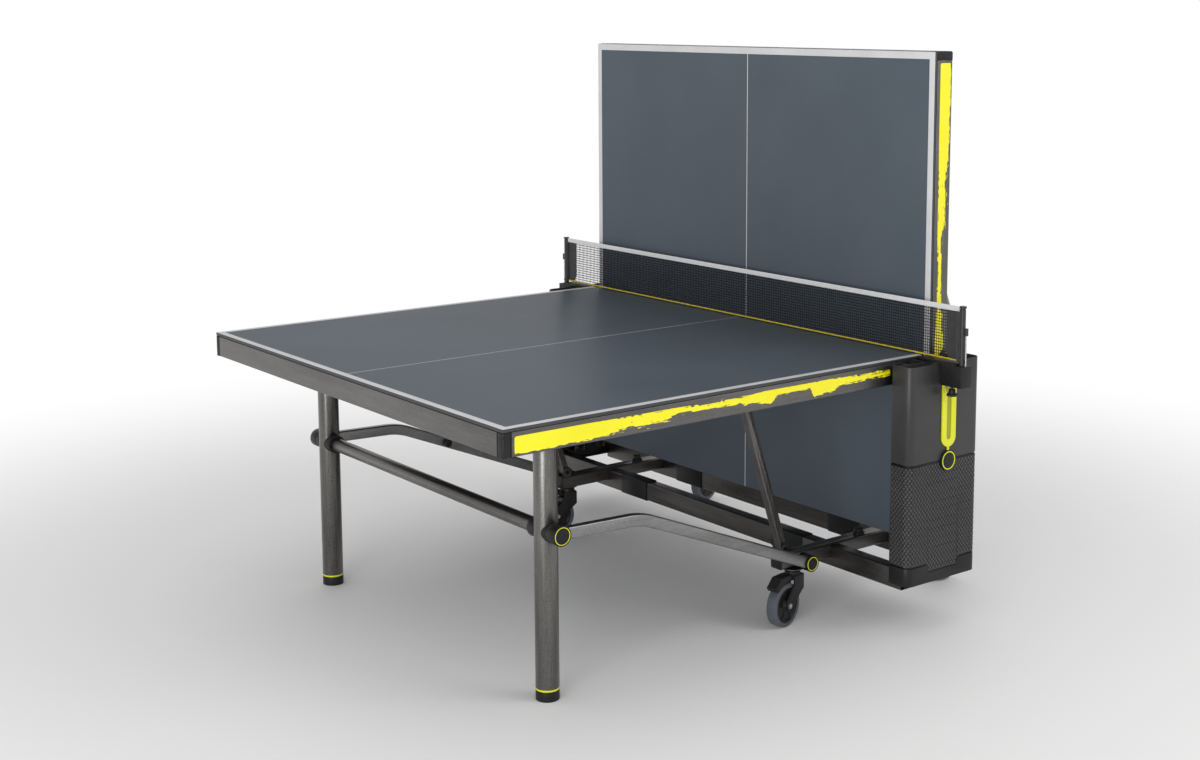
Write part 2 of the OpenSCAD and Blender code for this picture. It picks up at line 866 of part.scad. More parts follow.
// Turns a strut to its folded place about the base hub
module fold_strut() {
  translate([base_hub_x, 0, base_hub_z])
    rotate([0, -strut_turn, 0])
      translate([-base_hub_x, 0, -base_hub_z]) children();
}

// Turns a brace about its upper pivot, to its place beside the upright half
module fold_brace() {
  translate([brace_pivot[0], 0, brace_pivot[1]])
    rotate([0, 90 - brace_flat + brace_stow, 0])
      translate([-brace_pivot[0], 0, -brace_pivot[1]]) children();
}

module upright_top() stow_place() half_top();
module upright_side_rails() stow_place() half_side_rails();
module upright_end_rail() stow_place() half_end_rail();
module upright_net_rail() stow_place() half_net_rail();
module upright_corner_caps() stow_place() half_corner_caps();
module upright_under_frame() stow_place() half_under_frame();
module upright_legs() stow_place() fold_leg() half_legs();
module upright_leg_bar() stow_place() fold_leg() half_leg_bar();
module upright_leg_collars() stow_place() fold_leg() half_leg_collars();
module upright_foot_near() stow_place() fold_leg() foot(-1);
module upright_foot_far() stow_place() fold_leg() foot(1);
module upright_braces() stow_place() fold_brace() brace_shape();
module upright_carriage() stow_place() rotate_carriage() carriage_shape();
module upright_struts() base_place() fold_strut() strut_shape();
module upright_strut_hubs() base_place() fold_strut() strut_hub_shape();

// The carriage keeps upright in its column while the half turns about it
module rotate_carriage() {
  translate([slide_pivot[0], 0, slide_pivot[1]])
    rotate([0, 90, 0])
      translate([-slide_pivot[0], 0, -slide_pivot[1]]) children();
}

module clamp_screw_near() clamp_screw(-1);
module clamp_screw_far() clamp_screw(1);

base_beams();
cross_tubes();
base_hubs();
guide_columns();
bin_bases();
lower_bins();
upper_bins();
net_posts();
net_brackets();
net_mesh();
net_tape();
net_cord();
beam_pads();
lock_knobs();
slot_trims();
seam_badges();
clamp_screw_near();
clamp_screw_far();
flat_top();
flat_side_rails();
flat_end_rail();
flat_net_rail();
flat_corner_caps();
flat_under_frame();
flat_legs();
flat_leg_bar();
flat_leg_collars();
flat_struts();
flat_strut_hubs();
flat_braces();
flat_carriage();
flat_foot_near();
flat_foot_far();
upright_top();
upright_side_rails();
upright_end_rail();
upright_net_rail();
upright_corner_caps();
upright_under_frame();
upright_legs();
upright_leg_bar();
upright_leg_collars();
upright_struts();
upright_strut_hubs();
upright_braces();
upright_carriage();
upright_foot_near();
upright_foot_far();
caster_fork(0);  // caster_1_fork
caster_wheel(0);  // caster_1_wheel
caster_pedal(0);  // caster_1_pedal
caster_fork(1);  // caster_2_fork
caster_wheel(1);  // caster_2_wheel
caster_pedal(1);  // caster_2_pedal
caster_fork(2);  // caster_3_fork
caster_wheel(2);  // caster_3_wheel
caster_pedal(2);  // caster_3_pedal
caster_fork(3);  // caster_4_fork
caster_wheel(3);  // caster_4_wheel
caster_pedal(3);  // caster_4_pedal
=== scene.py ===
import json
from math import cos, floor, hypot, pi, radians, sin, sqrt

import bmesh
import bpy
from mathutils import Matrix, Vector, noise


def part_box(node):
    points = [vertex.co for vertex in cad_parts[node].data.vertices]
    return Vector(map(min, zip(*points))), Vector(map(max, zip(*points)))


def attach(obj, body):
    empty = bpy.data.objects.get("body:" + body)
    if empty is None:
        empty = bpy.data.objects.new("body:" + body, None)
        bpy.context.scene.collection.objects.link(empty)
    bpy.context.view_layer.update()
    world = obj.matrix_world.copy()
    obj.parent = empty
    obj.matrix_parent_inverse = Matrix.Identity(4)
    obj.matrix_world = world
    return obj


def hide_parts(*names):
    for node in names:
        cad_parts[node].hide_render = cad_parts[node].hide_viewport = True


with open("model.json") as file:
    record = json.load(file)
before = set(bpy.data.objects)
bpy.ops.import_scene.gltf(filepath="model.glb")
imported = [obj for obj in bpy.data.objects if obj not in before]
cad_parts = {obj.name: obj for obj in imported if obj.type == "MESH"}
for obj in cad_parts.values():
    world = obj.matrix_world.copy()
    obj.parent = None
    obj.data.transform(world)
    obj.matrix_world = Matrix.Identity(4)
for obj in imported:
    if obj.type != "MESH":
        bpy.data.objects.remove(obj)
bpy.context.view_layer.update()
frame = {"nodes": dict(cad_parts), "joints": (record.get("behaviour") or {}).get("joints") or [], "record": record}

# ---- The frame's own measures, in metres ----

JOINTS = {j["name"]: j for j in frame["joints"]}
MM = 0.001


def span(node):
    """A CAD node's lowest corner, highest corner and middle."""
    low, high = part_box(node)
    return low, high, (low + high) / 2


def pivot(joint):
    return Vector(JOINTS[joint]["pos_m"])


def turn(joint):
    return radians(max(abs(a) for a in JOINTS[joint]["range_deg"]))


def about_y(point, angle):
    """A turn about the line along Y through a point."""
    return Matrix.Translation(point) @ Matrix.Rotation(angle, 4, "Y") @ Matrix.Translation(-point)


def reach_y(node, centre, radius):
    """The furthest |y| of a CAD node within a radius of a point in the X-Z plane."""
    near = [abs(v.co.y) for v in frame["nodes"][node].data.vertices
            if hypot(v.co.x - centre.x, v.co.z - centre.z) < radius]
    return max(near)


NET_X = (pivot("flat_strut_swing").x + pivot("upright_strut_swing").x) / 2
SURFACE_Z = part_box("flat_top")[1].z
END_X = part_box("flat_end_rail")[0].x
HALF_LEN = NET_X - END_X
HALF_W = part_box("flat_side_rails")[1].y
APRON_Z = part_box("flat_side_rails")[0].z
FACE_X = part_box("upright_top")[0].x
STOW_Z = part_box("upright_end_rail")[1].z - HALF_LEN

FLAT = Matrix.Translation((NET_X, 0, SURFACE_Z)) @ Matrix.Rotation(pi, 4, "Z")
UPRIGHT = Matrix.Translation((FACE_X, 0, STOW_Z)) @ Matrix.Rotation(-pi / 2, 4, "Y")
BASE = Matrix.Translation((NET_X, 0, 0))
BASE_TURNED = BASE @ Matrix.Rotation(pi, 4, "Z")


def upright_place(joint):
    """Takes a part of the flat half, drawn where it lies, to its place on the upright half."""
    local = FLAT.inverted() @ pivot(joint)
    return UPRIGHT @ about_y(local, turn(joint)) @ FLAT.inverted()


def strut_place():
    local = BASE_TURNED.inverted() @ pivot("flat_strut_swing")
    return BASE @ about_y(local, -turn("flat_strut_swing")) @ BASE_TURNED.inverted()


# Parts of a half are drawn where the flat half has them, and these matrices set them on the other half.
HALVES = ("flat", "upright")
PLACES = {
    "flat": {part: Matrix.Identity(4) for part in ("half", "leg", "brace", "strut", "carriage")},
    "upright": {
        "half": UPRIGHT @ FLAT.inverted(),
        "leg": upright_place("flat_leg_fold"),
        "brace": upright_place("flat_brace_swing"),
        "strut": strut_place(),
        "carriage": upright_place("flat_tilt"),
    },
}

# ---- Camera and stage ----

CAMERA_PLACE = (-2.937, -3.937, 1.6875)
CAMERA_PITCH = -8.0
CAMERA_YAW = 38.75
CAMERA_LENS = 51.66
CAMERA_SHIFT = (-0.0598, -0.105)


def add_camera():
    data = bpy.data.cameras.new("camera")
    data.sensor_width = 36
    data.lens = CAMERA_LENS
    data.shift_x, data.shift_y = CAMERA_SHIFT
    data.clip_end = 200
    camera = bpy.data.objects.new("camera", data)
    camera.location = CAMERA_PLACE
    camera.rotation_euler = (radians(90 + CAMERA_PITCH), 0, radians(-CAMERA_YAW))
    bpy.context.scene.collection.objects.link(camera)
    bpy.context.scene.camera = camera


def add_light(name, place, target, size, power):
    data = bpy.data.lights.new(name, "AREA")
    data.shape = "RECTANGLE"
    data.size, data.size_y = size
    data.energy = power
    light = bpy.data.objects.new(name, data)
    light.location = place
    light.rotation_euler = (Vector(target) - Vector(place)).to_track_quat("-Z", "Y").to_euler()
    light.visible_camera = False
    bpy.context.scene.collection.objects.link(light)


def set_sockets(node, **values):
    """Sets a node's sockets; an underscore stands for a space in a socket's name."""
    for socket, value in values.items():
        node.inputs[socket.replace("_", " ")].default_value = value
    return node


AMBIENT = 0.66


def add_world():
    """White to the camera, and softer as a light."""
    world = bpy.data.worlds.new("studio")
    world.use_nodes = True
    tree = world.node_tree
    background = set_sockets(tree.nodes["Background"], Color=(1, 1, 1, 1))
    path = tree.nodes.new("ShaderNodeLightPath")
    level = set_sockets(tree.nodes.new("ShaderNodeMapRange"), To_Min=AMBIENT, To_Max=1.0)
    tree.links.new(path.outputs["Is Camera Ray"], level.inputs["Value"])
    tree.links.new(level.outputs["Result"], background.inputs["Strength"])
    bpy.context.scene.world = world


FLOOR_R = 60.0
FLOOR_GREY = 0.93
FADE_FROM = 1.5
FADE_TO = 3.6


def add_floor():
    """A pale floor that fades to white round the object."""
    bm = bmesh.new()
    bmesh.ops.create_circle(bm, cap_ends=True, segments=96, radius=FLOOR_R)
    mesh = bpy.data.meshes.new("stage_floor")
    bm.to_mesh(mesh)
    bm.free()
    material = bpy.data.materials.new("studio_floor")
    material.use_nodes = True
    tree = material.node_tree
    link = tree.links.new
    shader = set_sockets(tree.nodes["Principled BSDF"], Roughness=0.6, Specular_IOR_Level=0.15,
                         Base_Color=(FLOOR_GREY, FLOOR_GREY, FLOOR_GREY, 1))
    glow = tree.nodes.new("ShaderNodeEmission")
    mix = tree.nodes.new("ShaderNodeMixShader")
    coords = tree.nodes.new("ShaderNodeTexCoord")
    length = tree.nodes.new("ShaderNodeVectorMath")
    length.operation = "LENGTH"
    fade = set_sockets(tree.nodes.new("ShaderNodeMapRange"), From_Min=FADE_FROM, From_Max=FADE_TO)
    fade.interpolation_type = "SMOOTHSTEP"
    link(coords.outputs["Object"], length.inputs[0])
    link(length.outputs["Value"], fade.inputs["Value"])
    link(fade.outputs["Result"], mix.inputs["Fac"])
    link(shader.outputs["BSDF"], mix.inputs[1])
    link(glow.outputs["Emission"], mix.inputs[2])
    link(mix.outputs["Shader"], tree.nodes["Material Output"].inputs["Surface"])
    mesh.materials.append(material)
    obj = bpy.data.objects.new("stage_floor", mesh)
    obj.location = (0, 0, -0.3 * MM)
    bpy.context.scene.collection.objects.link(obj)


def add_stage():
    add_camera()
    add_world()
    add_floor()
    bpy.context.scene.view_settings.view_transform = "Standard"
    add_light("key", (2.6, -4.6, 3.4), (0, 0, 0.6), (3.0, 2.5), 60)
    add_light("left", (-5.2, -3.4, 1.3), (0.3, 0, 0.6), (3.0, 2.0), 130)
    add_light("overhead", (-0.4, 0.2, 4.4), (-0.2, 0, 0), (4.5, 3.5), 12)


# ---- Materials ----

class Surface:
    """A material with procedural colour, roughness and relief, in the object's own coordinates."""

    def __init__(self, name, **constants):
        self.material = bpy.data.materials.new(name)
        self.material.use_nodes = True
        self.tree = self.material.node_tree
        self.shader = set_sockets(self.tree.nodes["Principled BSDF"], **constants)
        self.coords = self.tree.nodes.new("ShaderNodeTexCoord")
        self.normal = None

    def _add(self, kind, **inputs):
        return set_sockets(self.tree.nodes.new(kind), **inputs)

    def _link(self, a, b):
        self.tree.links.new(a, b)

    def noise(self, scale, stretch=(1, 1, 1), detail=4.0, roughness=0.6):
        """Noise whose features are about 1 / scale metres, squeezed by stretch."""
        mapping = self._add("ShaderNodeMapping", Scale=stretch)
        texture = self._add("ShaderNodeTexNoise", Scale=scale, Detail=detail, Roughness=roughness)
        self._link(self.coords.outputs["Object"], mapping.inputs["Vector"])
        self._link(mapping.outputs["Vector"], texture.inputs["Vector"])
        return texture.outputs["Fac"]

    def wave(self, scale, axis, distortion=0.0):
        texture = self._add("ShaderNodeTexWave", Scale=scale, Distortion=distortion)
        texture.bands_direction = axis
        self._link(self.coords.outputs["Object"], texture.inputs["Vector"])
        return texture.outputs["Fac"]

    def blend(self, *factors):
        """The mean of several factors."""
        total = factors[0]
        for factor in factors[1:]:
            node = self._add("ShaderNodeMath")
            node.operation = "ADD"
            self._link(total, node.inputs[0])
            self._link(factor, node.inputs[1])
            total = node.outputs["Value"]
        mean = self._add("ShaderNodeMapRange", From_Max=len(factors))
        self._link(total, mean.inputs["Value"])
        return mean.outputs["Result"]

    def colour(self, factor, dark, light, low=0.40, high=0.60):
        ramp = self._add("ShaderNodeValToRGB")
        for stop, place, tone in zip(ramp.color_ramp.elements, (low, high), (dark, light)):
            stop.position, stop.color = place, (*tone, 1)
        self._link(factor, ramp.inputs["Fac"])
        self._link(ramp.outputs["Color"], self.shader.inputs["Base Color"])
        return self

    def roughness(self, factor, low, high):
        level = self._add("ShaderNodeMapRange", From_Min=0.3, From_Max=0.7, To_Min=low, To_Max=high)
        self._link(factor, level.inputs["Value"])
        self._link(level.outputs["Result"], self.shader.inputs["Roughness"])
        return self

    def relief(self, factor, depth, strength=1.0):
        """Bump of about this depth in metres; calls add up."""
        bump = self._add("ShaderNodeBump", Strength=strength, Distance=depth)
        self._link(factor, bump.inputs["Height"])
        if self.normal is not None:
            self._link(self.normal, bump.inputs["Normal"])
        self.normal = bump.outputs["Normal"]
        self._link(self.normal, self.shader.inputs["Normal"])
        return self


def plain(name, dark, light, rough, grain, depth, patches=9.0, **constants):
    """A moulded or painted surface: soft patches of tone over a fine grain."""
    s = Surface(name, **constants)
    patch = s.noise(patches, detail=5.0)
    fine = s.noise(grain, detail=3.0)
    s.colour(s.blend(patch, fine), dark, light)
    s.roughness(patch, rough - 0.05, rough + 0.06)
    s.relief(fine, depth)
    return s.material


BRUSHED = {"x": (1.2, 60, 60), "y": (60, 1.2, 60), "z": (60, 60, 1.2)}
PATINA = {"x": (0.25, 2.2, 2.2), "y": (2.2, 0.25, 2.2), "z": (2.2, 2.2, 0.25)}


def brushed_steel(name, axis, dark, light, rough):
    """Raw steel under clear coat: long brush streaks along an axis, over brown patches of heat and oil."""
    s = Surface(name, Metallic=1.0, Coat_Weight=0.35, Coat_Roughness=0.22)
    streak = s.noise(9.0, BRUSHED[axis], detail=6.0, roughness=0.7)
    patch = s.noise(9.0, PATINA[axis], detail=5.0, roughness=0.62)
    speck = s.noise(420.0, detail=2.0)
    s.colour(s.blend(streak, patch, speck), dark, light, 0.38, 0.62)
    s.roughness(streak, rough - 0.07, rough + 0.09)
    s.relief(streak, 0.05 * MM, 0.5)
    s.relief(speck, 0.02 * MM, 0.4)
    return s.material


# A wave texture's scale for a pitch of 1 m
WAVE_SCALE = pi / 10


def woven(name, dark, light, pitch, depth, rough):
    """A tight weave of warp and weft."""
    s = Surface(name, Roughness=rough, Sheen_Weight=0.15)
    threads = WAVE_SCALE / pitch
    weave = s.blend(s.wave(threads, "Y"), s.wave(threads, "Z"))
    s.colour(s.blend(weave, s.noise(60.0)), dark, light, 0.25, 0.75)
    s.relief(weave, depth)
    return s.material


SLATE_DARK, SLATE_LIGHT = (0.088, 0.107, 0.130), (0.101, 0.122, 0.147)
STEEL_DARK, STEEL_LIGHT = (0.070, 0.065, 0.059), (0.230, 0.224, 0.215)
STRUT_DARK, STRUT_LIGHT = (0.150, 0.147, 0.145), (0.330, 0.326, 0.325)
# The aprons' steel is the raw steel made darker: painted shade, for the less light that reaches the aprons
APRON_SHADED_DARK, APRON_SHADED_LIGHT = (0.078, 0.074, 0.068), (0.180, 0.175, 0.169)
DEEP_DARK, DEEP_LIGHT = (0.050, 0.045, 0.043), (0.135, 0.127, 0.122)


# Moulded and painted surfaces: name, darkest, lightest, roughness, grain, relief in mm, specular level
PLAIN = {
    "line": ("line_paint", (0.60, 0.60, 0.61), (0.68, 0.68, 0.69), 0.42, 900.0, 0.03, 0.5),
    "edge": ("board_edge", (0.028, 0.029, 0.031), (0.045, 0.046, 0.049), 0.5, 700.0, 0.05, 0.5),
    "under": ("board_underside", (0.030, 0.032, 0.035), (0.052, 0.055, 0.060), 0.6, 300.0, 0.08, 0.5),
    "black": ("black_plastic", (0.007, 0.007, 0.007), (0.014, 0.014, 0.014), 0.36, 1300.0, 0.06, 0.28),
    "rough_black": ("textured_black", (0.009, 0.009, 0.009), (0.019, 0.019, 0.019), 0.45, 700.0, 0.12, 0.24),
    "bin": ("bin_plastic", (0.029, 0.029, 0.031), (0.041, 0.041, 0.043), 0.36, 1500.0, 0.04, 0.36),
    "bin_tex": ("textured_bin", (0.040, 0.040, 0.042), (0.058, 0.058, 0.061), 0.30, 1500.0, 0.04, 0.45),
    # the grooves' colour is painted shade: darker than the bin's plastic, for the hollows between the diamonds and
    # the seams' faces
    "groove": ("textured_bin_groove_shade", (0.009, 0.009, 0.010), (0.016, 0.016, 0.017),
               0.55, 1500.0, 0.04, 0.25),
    "lime": ("lime_plastic", (0.66, 0.68, 0.008), (0.74, 0.76, 0.016), 0.34, 900.0, 0.03, 0.5),
    "olive": ("olive_panel", (0.27, 0.28, 0.002), (0.34, 0.35, 0.004), 0.45, 900.0, 0.03, 0.5),
    "stripe": ("yellow_print", (0.86, 0.78, 0.004), (0.93, 0.85, 0.010), 0.38, 500.0, 0.03, 0.5),
    "powder": ("powder_coat", (0.012, 0.012, 0.013), (0.024, 0.024, 0.025), 0.36, 1800.0, 0.10, 0.5),
    "strand": ("net_strand", (0.005, 0.005, 0.006), (0.013, 0.013, 0.014), 0.62, 2500.0, 0.10, 0.2),
    "tyre": ("tyre_rubber", (0.060, 0.067, 0.082), (0.088, 0.097, 0.115), 0.55, 900.0, 0.10, 0.5),
}


def make_materials():
    m = {}
    s = Surface("slate_surface", Specular_IOR_Level=0.08)
    patch, fine = s.noise(2.5, detail=4.0), s.noise(1500.0, detail=2.0)
    s.colour(s.blend(patch, fine), SLATE_DARK, SLATE_LIGHT)
    s.roughness(patch, 0.37, 0.43).relief(fine, 0.03 * MM, 0.35)
    m["slate"] = s.material
    # the aprons take a darker copy of the raw steel, which paints in shade
    m["apron_x"] = brushed_steel("apron_steel_shaded_x", "x", APRON_SHADED_DARK, APRON_SHADED_LIGHT, 0.38)
    m["apron_y"] = brushed_steel("apron_steel_shaded_y", "y", APRON_SHADED_DARK, APRON_SHADED_LIGHT, 0.38)
    m["strut"] = brushed_steel("strut_steel", "x", STRUT_DARK, STRUT_LIGHT, 0.34)
    for axis in "xyz":
        m["steel_" + axis] = brushed_steel("raw_steel_" + axis, axis, STEEL_DARK, STEEL_LIGHT, 0.36)
        m["deep_" + axis] = brushed_steel("dark_steel_" + axis, axis, DEEP_DARK, DEEP_LIGHT, 0.40)
    m["tape"] = woven("net_tape_weave", (0.60, 0.60, 0.61), (0.76, 0.76, 0.77), 1.2 * MM, 0.12 * MM, 0.8)
    m["sleeve"] = woven("net_sleeve_weave", (0.014, 0.014, 0.015), (0.045, 0.045, 0.047),
                        1.4 * MM, 0.2 * MM, 0.8)
    m["braid"] = woven("yellow_braid", (0.50, 0.36, 0.003), (0.72, 0.56, 0.010), 1.6 * MM, 0.25 * MM, 0.6)
    for key, (name, dark, light, rough, grain, depth, specular) in PLAIN.items():
        m[key] = plain(name, dark, light, rough, grain, depth * MM, Specular_IOR_Level=specular)
    m["zinc"] = plain("zinc_plate", (0.42, 0.42, 0.43), (0.58, 0.58, 0.59),
                      0.30, 600.0, 0.03 * MM, Metallic=1.0)
    return m


M = make_materials()

# ---- Mesh helpers ----


def arc(cx, cy, r, a0, a1, n=6):
    """Points of an arc, from angle a0 to a1 in degrees."""
    angles = [radians(a0 + (a1 - a0) * i / n) for i in range(n + 1)]
    return [(cx + r * cos(a), cy + r * sin(a)) for a in angles]


def rounded_rect(w, h, r, n=5):
    x, y = w / 2 - r, h / 2 - r
    corners = ((x, y), (-x, y), (-x, -y), (x, -y))
    return [p for k, (cx, cy) in enumerate(corners) for p in arc(cx, cy, r, 90 * k, 90 * k + 90, n)]


def loft(bm, rings, closed=True, capped=True, mat=0):
    """Joins rings of equally many points with quads."""
    rows = [[bm.verts.new(p) for p in ring] for ring in rings]
    n = len(rows[0])
    for a, b in zip(rows, rows[1:]):
        for i in range(n if closed else n - 1):
            j = (i + 1) % n
            bm.faces.new((a[i], a[j], b[j], b[i])).material_index = mat
    if capped:
        bm.faces.new(list(reversed(rows[0]))).material_index = mat
        bm.faces.new(rows[-1]).material_index = mat


def on_axis(axis, p, q, t):
    """A point at t along an axis, with p and q across it."""
    return {"x": (t, p, q), "y": (p, t, q), "z": (p, q, t)}[axis]


def extrude(bm, outline, t0, t1, axis, mat=0):
    loft(bm, [[on_axis(axis, p, q, t) for p, q in outline] for t in (t0, t1)], mat=mat)


def lathe(bm, profile, centre, axis, segments=48, mat=0, capped=True):
    """Turns a profile of (radius, place along the axis) about an axis through centre."""
    rings = []
    for r, t in profile:
        ring = []
        for i in range(segments):
            a = 2 * pi * i / segments
            ring.append(Vector(centre) + Vector(on_axis(axis, r * cos(a), r * sin(a), t)))
        rings.append(ring)
    loft(bm, rings, capped=capped, mat=mat)


def rod(bm, points, radius, sides=10, mat=0):
    """A round bar through points in a row."""
    points = [Vector(p) for p in points]
    rings = []
    for i, p in enumerate(points):
        along = (points[min(i + 1, len(points) - 1)] - points[max(i - 1, 0)]).normalized()
        side = along.cross(Vector((0, 0, 1)) if abs(along.z) < 0.9 else Vector((1, 0, 0))).normalized()
        up = side.cross(along)
        angles = [2 * pi * k / sides for k in range(sides)]
        rings.append([p + radius * (cos(a) * side + sin(a) * up) for a in angles])
    loft(bm, rings, mat=mat)


def block(bm, low, high, mat=0):
    x0, y0, z0 = low
    x1, y1, z1 = high
    loft(bm, [[(x0, y0, z), (x1, y0, z), (x1, y1, z), (x0, y1, z)] for z in (z0, z1)], mat=mat)


def soften(bm, width, segments=2, angle=30.0):
    """Rounds every edge sharper than an angle."""
    sharp = [e for e in bm.edges if len(e.link_faces) == 2 and e.calc_face_angle(0.0) > radians(angle)]
    bmesh.ops.bevel(bm, geom=sharp, offset=width, offset_type="OFFSET", segments=segments, profile=0.5,
                    affect="EDGES", clamp_overlap=True)


def piece(bm, name, materials, body, place=None, replaces=(), angle=35.0):
    """Makes an object of a bmesh, sets it in place and lets it ride on a body."""
    bmesh.ops.recalc_face_normals(bm, faces=bm.faces)
    mesh = bpy.data.meshes.new(name)
    bm.to_mesh(mesh)
    bm.free()
    for material in materials:
        mesh.materials.append(M[material])
    mesh.polygons.foreach_set("use_smooth", [True] * len(mesh.polygons))
    mesh.set_sharp_from_angle(angle=radians(angle))
    obj = bpy.data.objects.new(name, mesh)
    bpy.context.scene.collection.objects.link(obj)
    if place is not None:
        obj.matrix_world = place
    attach(obj, body)
    if replaces:
        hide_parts(*replaces)
    return obj


def from_cad(node, place=None):
    """A CAD node's shape as a bmesh with whole flat faces, in the coordinates of its place."""
    bm = bmesh.new()
    bm.from_mesh(frame["nodes"][node].data)
    if place is not None:
        bm.transform(place.inverted())
    bmesh.ops.remove_doubles(bm, verts=bm.verts, dist=0.004 * MM)
    bmesh.ops.dissolve_limit(bm, angle_limit=radians(0.6), verts=bm.verts, edges=bm.edges)
    for f in bm.faces:
        f.material_index = 0
    return bm


BODY_OF = {node: body for body, nodes in frame["record"]["behaviour"]["bodies"].items() for node in nodes}


def refine(node, material, width=0.8 * MM, place=None, extra=None, name=None):
    """Stands for a CAD node of the right shape, with its edges rounded, and more detail drawn by extra."""
    bm = from_cad(node, place)
    soften(bm, width)
    if extra is not None:
        extra(bm)
    name = name or node + "_shell"
    return piece(bm, name, [material], BODY_OF[node], place, (node,))


# ---- One half ----

LINE_W = 20 * MM
CENTRE_LINE_W = 3 * MM
# The part of the board's edge that shows over the aprons, and the gap under it
EDGE_SHOW = 9 * MM
APRON_GAP = 1 * MM
APRON_TOP = SURFACE_Z - EDGE_SHOW - APRON_GAP
# The aprons' shelf and the caps' seat, just under the board
SEAT_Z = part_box("flat_top")[0].z - 0.5 * MM
CAP = 25 * MM
RAIL_T = 2.5 * MM


def board(half):
    """The board with its border lines along three edges and its centre line."""
    low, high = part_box("flat_top")
    bm = bmesh.new()
    block(bm, (low.x, low.y, high.z - EDGE_SHOW), (high.x, high.y, high.z))
    cuts_x = (low.x + LINE_W,)
    cuts_y = (low.y + LINE_W, -CENTRE_LINE_W / 2, CENTRE_LINE_W / 2, high.y - LINE_W)
    planes = [((x, 0, 0), (1, 0, 0)) for x in cuts_x] + [((0, y, 0), (0, 1, 0)) for y in cuts_y]
    for place, normal in planes:
        geom = bm.verts[:] + bm.edges[:] + bm.faces[:]
        bmesh.ops.bisect_plane(bm, geom=geom, plane_co=place, plane_no=normal)
    soften(bm, 1.0 * MM)
    for f in bm.faces:
        c = f.calc_center_median()
        white = c.x < cuts_x[0] or abs(c.y) > cuts_y[3] or abs(c.y) < CENTRE_LINE_W / 2
        top = f.normal.z > 0.9
        f.material_index = (1 if white else 0) if top else 2
    # the thicker core, set back under the edge
    set_back, net_end = 5 * MM, 20 * MM
    block(bm, (low.x + set_back, low.y + set_back, low.z),
          (high.x - net_end, high.y - set_back, high.z - EDGE_SHOW), mat=3)
    piece(bm, half + "_board", ["slate", "line", "edge", "under"], half + "_half",
          PLACES[half]["half"], (half + "_top",))


def apron_outline():
    """An apron's section: 0 is the outer face, with rounded lips at the top and the bottom."""
    shelf, lip, r, small = CAP - 0.5 * MM, 24 * MM, 3 * MM, 1.1 * MM
    outline = [(-lip, APRON_Z + RAIL_T), (-lip, APRON_Z)]
    outline += arc(-r, APRON_Z + r, r, -90, 0)
    outline += arc(-small, APRON_TOP - small, small, 0, 90, 4)
    outline += arc(-RAIL_T + small, APRON_TOP - small, small, 90, 180, 4)
    outline += [(-RAIL_T, SEAT_Z), (-shelf, SEAT_Z), (-shelf, SEAT_Z - RAIL_T)]
    return outline + [(-RAIL_T, SEAT_Z - RAIL_T), (-RAIL_T, APRON_Z + RAIL_T)]


# The aprons: name, CAD node, the axis that they run along, and where each outer face is and looks
APRONS = (
    ("side_aprons", "side_rails", "x", ((HALF_W, 1), (-HALF_W, -1))),
    ("end_apron", "end_rail", "y", ((END_X, -1),)),
)


def aprons(half):
    outline = apron_outline()
    for name, node, axis, faces in APRONS:
        low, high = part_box("flat_" + node)
        bm = bmesh.new()
        for face, out in faces:
            section = [(face + out * p, z) for p, z in outline]
            extrude(bm, section, getattr(low, axis), getattr(high, axis), axis)
        # the apron steel's darker tone is painted shade
        piece(bm, f"{half}_{name}", ["apron_" + axis], half + "_half", PLACES[half]["half"],
              (f"{half}_{node}",), 50)


def corner_caps(half):
    """Plastic corners with a groove beside each apron."""
    r, groove, depth, wall, bite = 6 * MM, 1.2 * MM, 1.0 * MM, 4.5 * MM, 0.2 * MM
    g0, g1 = 4 * MM, 4 * MM + groove
    edge = [(CAP, bite), (CAP, g0), (CAP - depth, g0), (CAP - depth, g1), (CAP, g1)]
    back = [(q, p) for p, q in reversed(edge)]
    corner = arc(CAP - r, CAP - r, r, 0, 90)
    bm = bmesh.new()
    net_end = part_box("flat_top")[1].x
    for sx, x0 in ((-1, END_X + CAP), (1, net_end - CAP)):
        for sy in (-1, 1):
            outline = [(bite, bite)] + edge + corner + back
            inner = [(bite, CAP - wall), (CAP - wall, CAP - wall), (CAP - wall, bite)]
            shell = edge + corner + back + inner
            for points, z0, z1 in ((outline, APRON_Z, SEAT_Z), (shell, SEAT_Z, APRON_TOP)):
                placed = [(x0 + sx * p, sy * (HALF_W - CAP + q)) for p, q in points]
                extrude(bm, placed, z0, z1, "z")
    bmesh.ops.recalc_face_normals(bm, faces=bm.faces)
    soften(bm, 0.6 * MM, 2, 50)
    piece(bm, half + "_corners", ["rough_black"], half + "_half", PLACES[half]["half"],
          (half + "_corner_caps",))


def smooth(t):
    t = min(max(t, 0.0), 1.0)
    return t * t * (3 - 2 * t)


def step_list(u, steps):
    """A value that eases from one to the next at each (place, value)."""
    value = steps[0][1]
    for (u0, v0), (u1, v1) in zip(steps, steps[1:]):
        if u >= u0:
            value = v0 + (v1 - v0) * smooth((u - u0) / (u1 - u0))
    return value


STROKE_END = 0.94
# The brush stroke's upper and lower edge and its dryness, as shares of the apron, along its length
STROKE_TOP = ((0, 0.90), (0.16, 0.92), (0.24, 0.90), (0.36, 0.93), (0.41, 0.74), (0.52, 0.76), (0.58, 0.90),
              (0.72, 0.86), (0.735, 0.97), (0.77, 0.83), (0.86, 0.80), (1, 0.72))
STROKE_LOW = ((0, 0.08), (0.19, 0.10), (0.24, 0.24), (0.34, 0.26), (0.38, 0.46), (0.50, 0.42), (0.56, 0.30),
              (0.60, 0.18), (0.615, 0.50), (0.70, 0.52), (0.715, 0.12), (0.765, 0.20), (0.79, 0.44),
              (0.92, 0.46), (1, 0.58))
STROKE_DRY = ((0, 0.10), (0.16, 0.18), (0.24, 0.62), (0.36, 0.66), (0.41, 0.22), (0.55, 0.30), (0.70, 0.28),
              (0.76, 0.20), (0.90, 0.45), (1, 0.95))


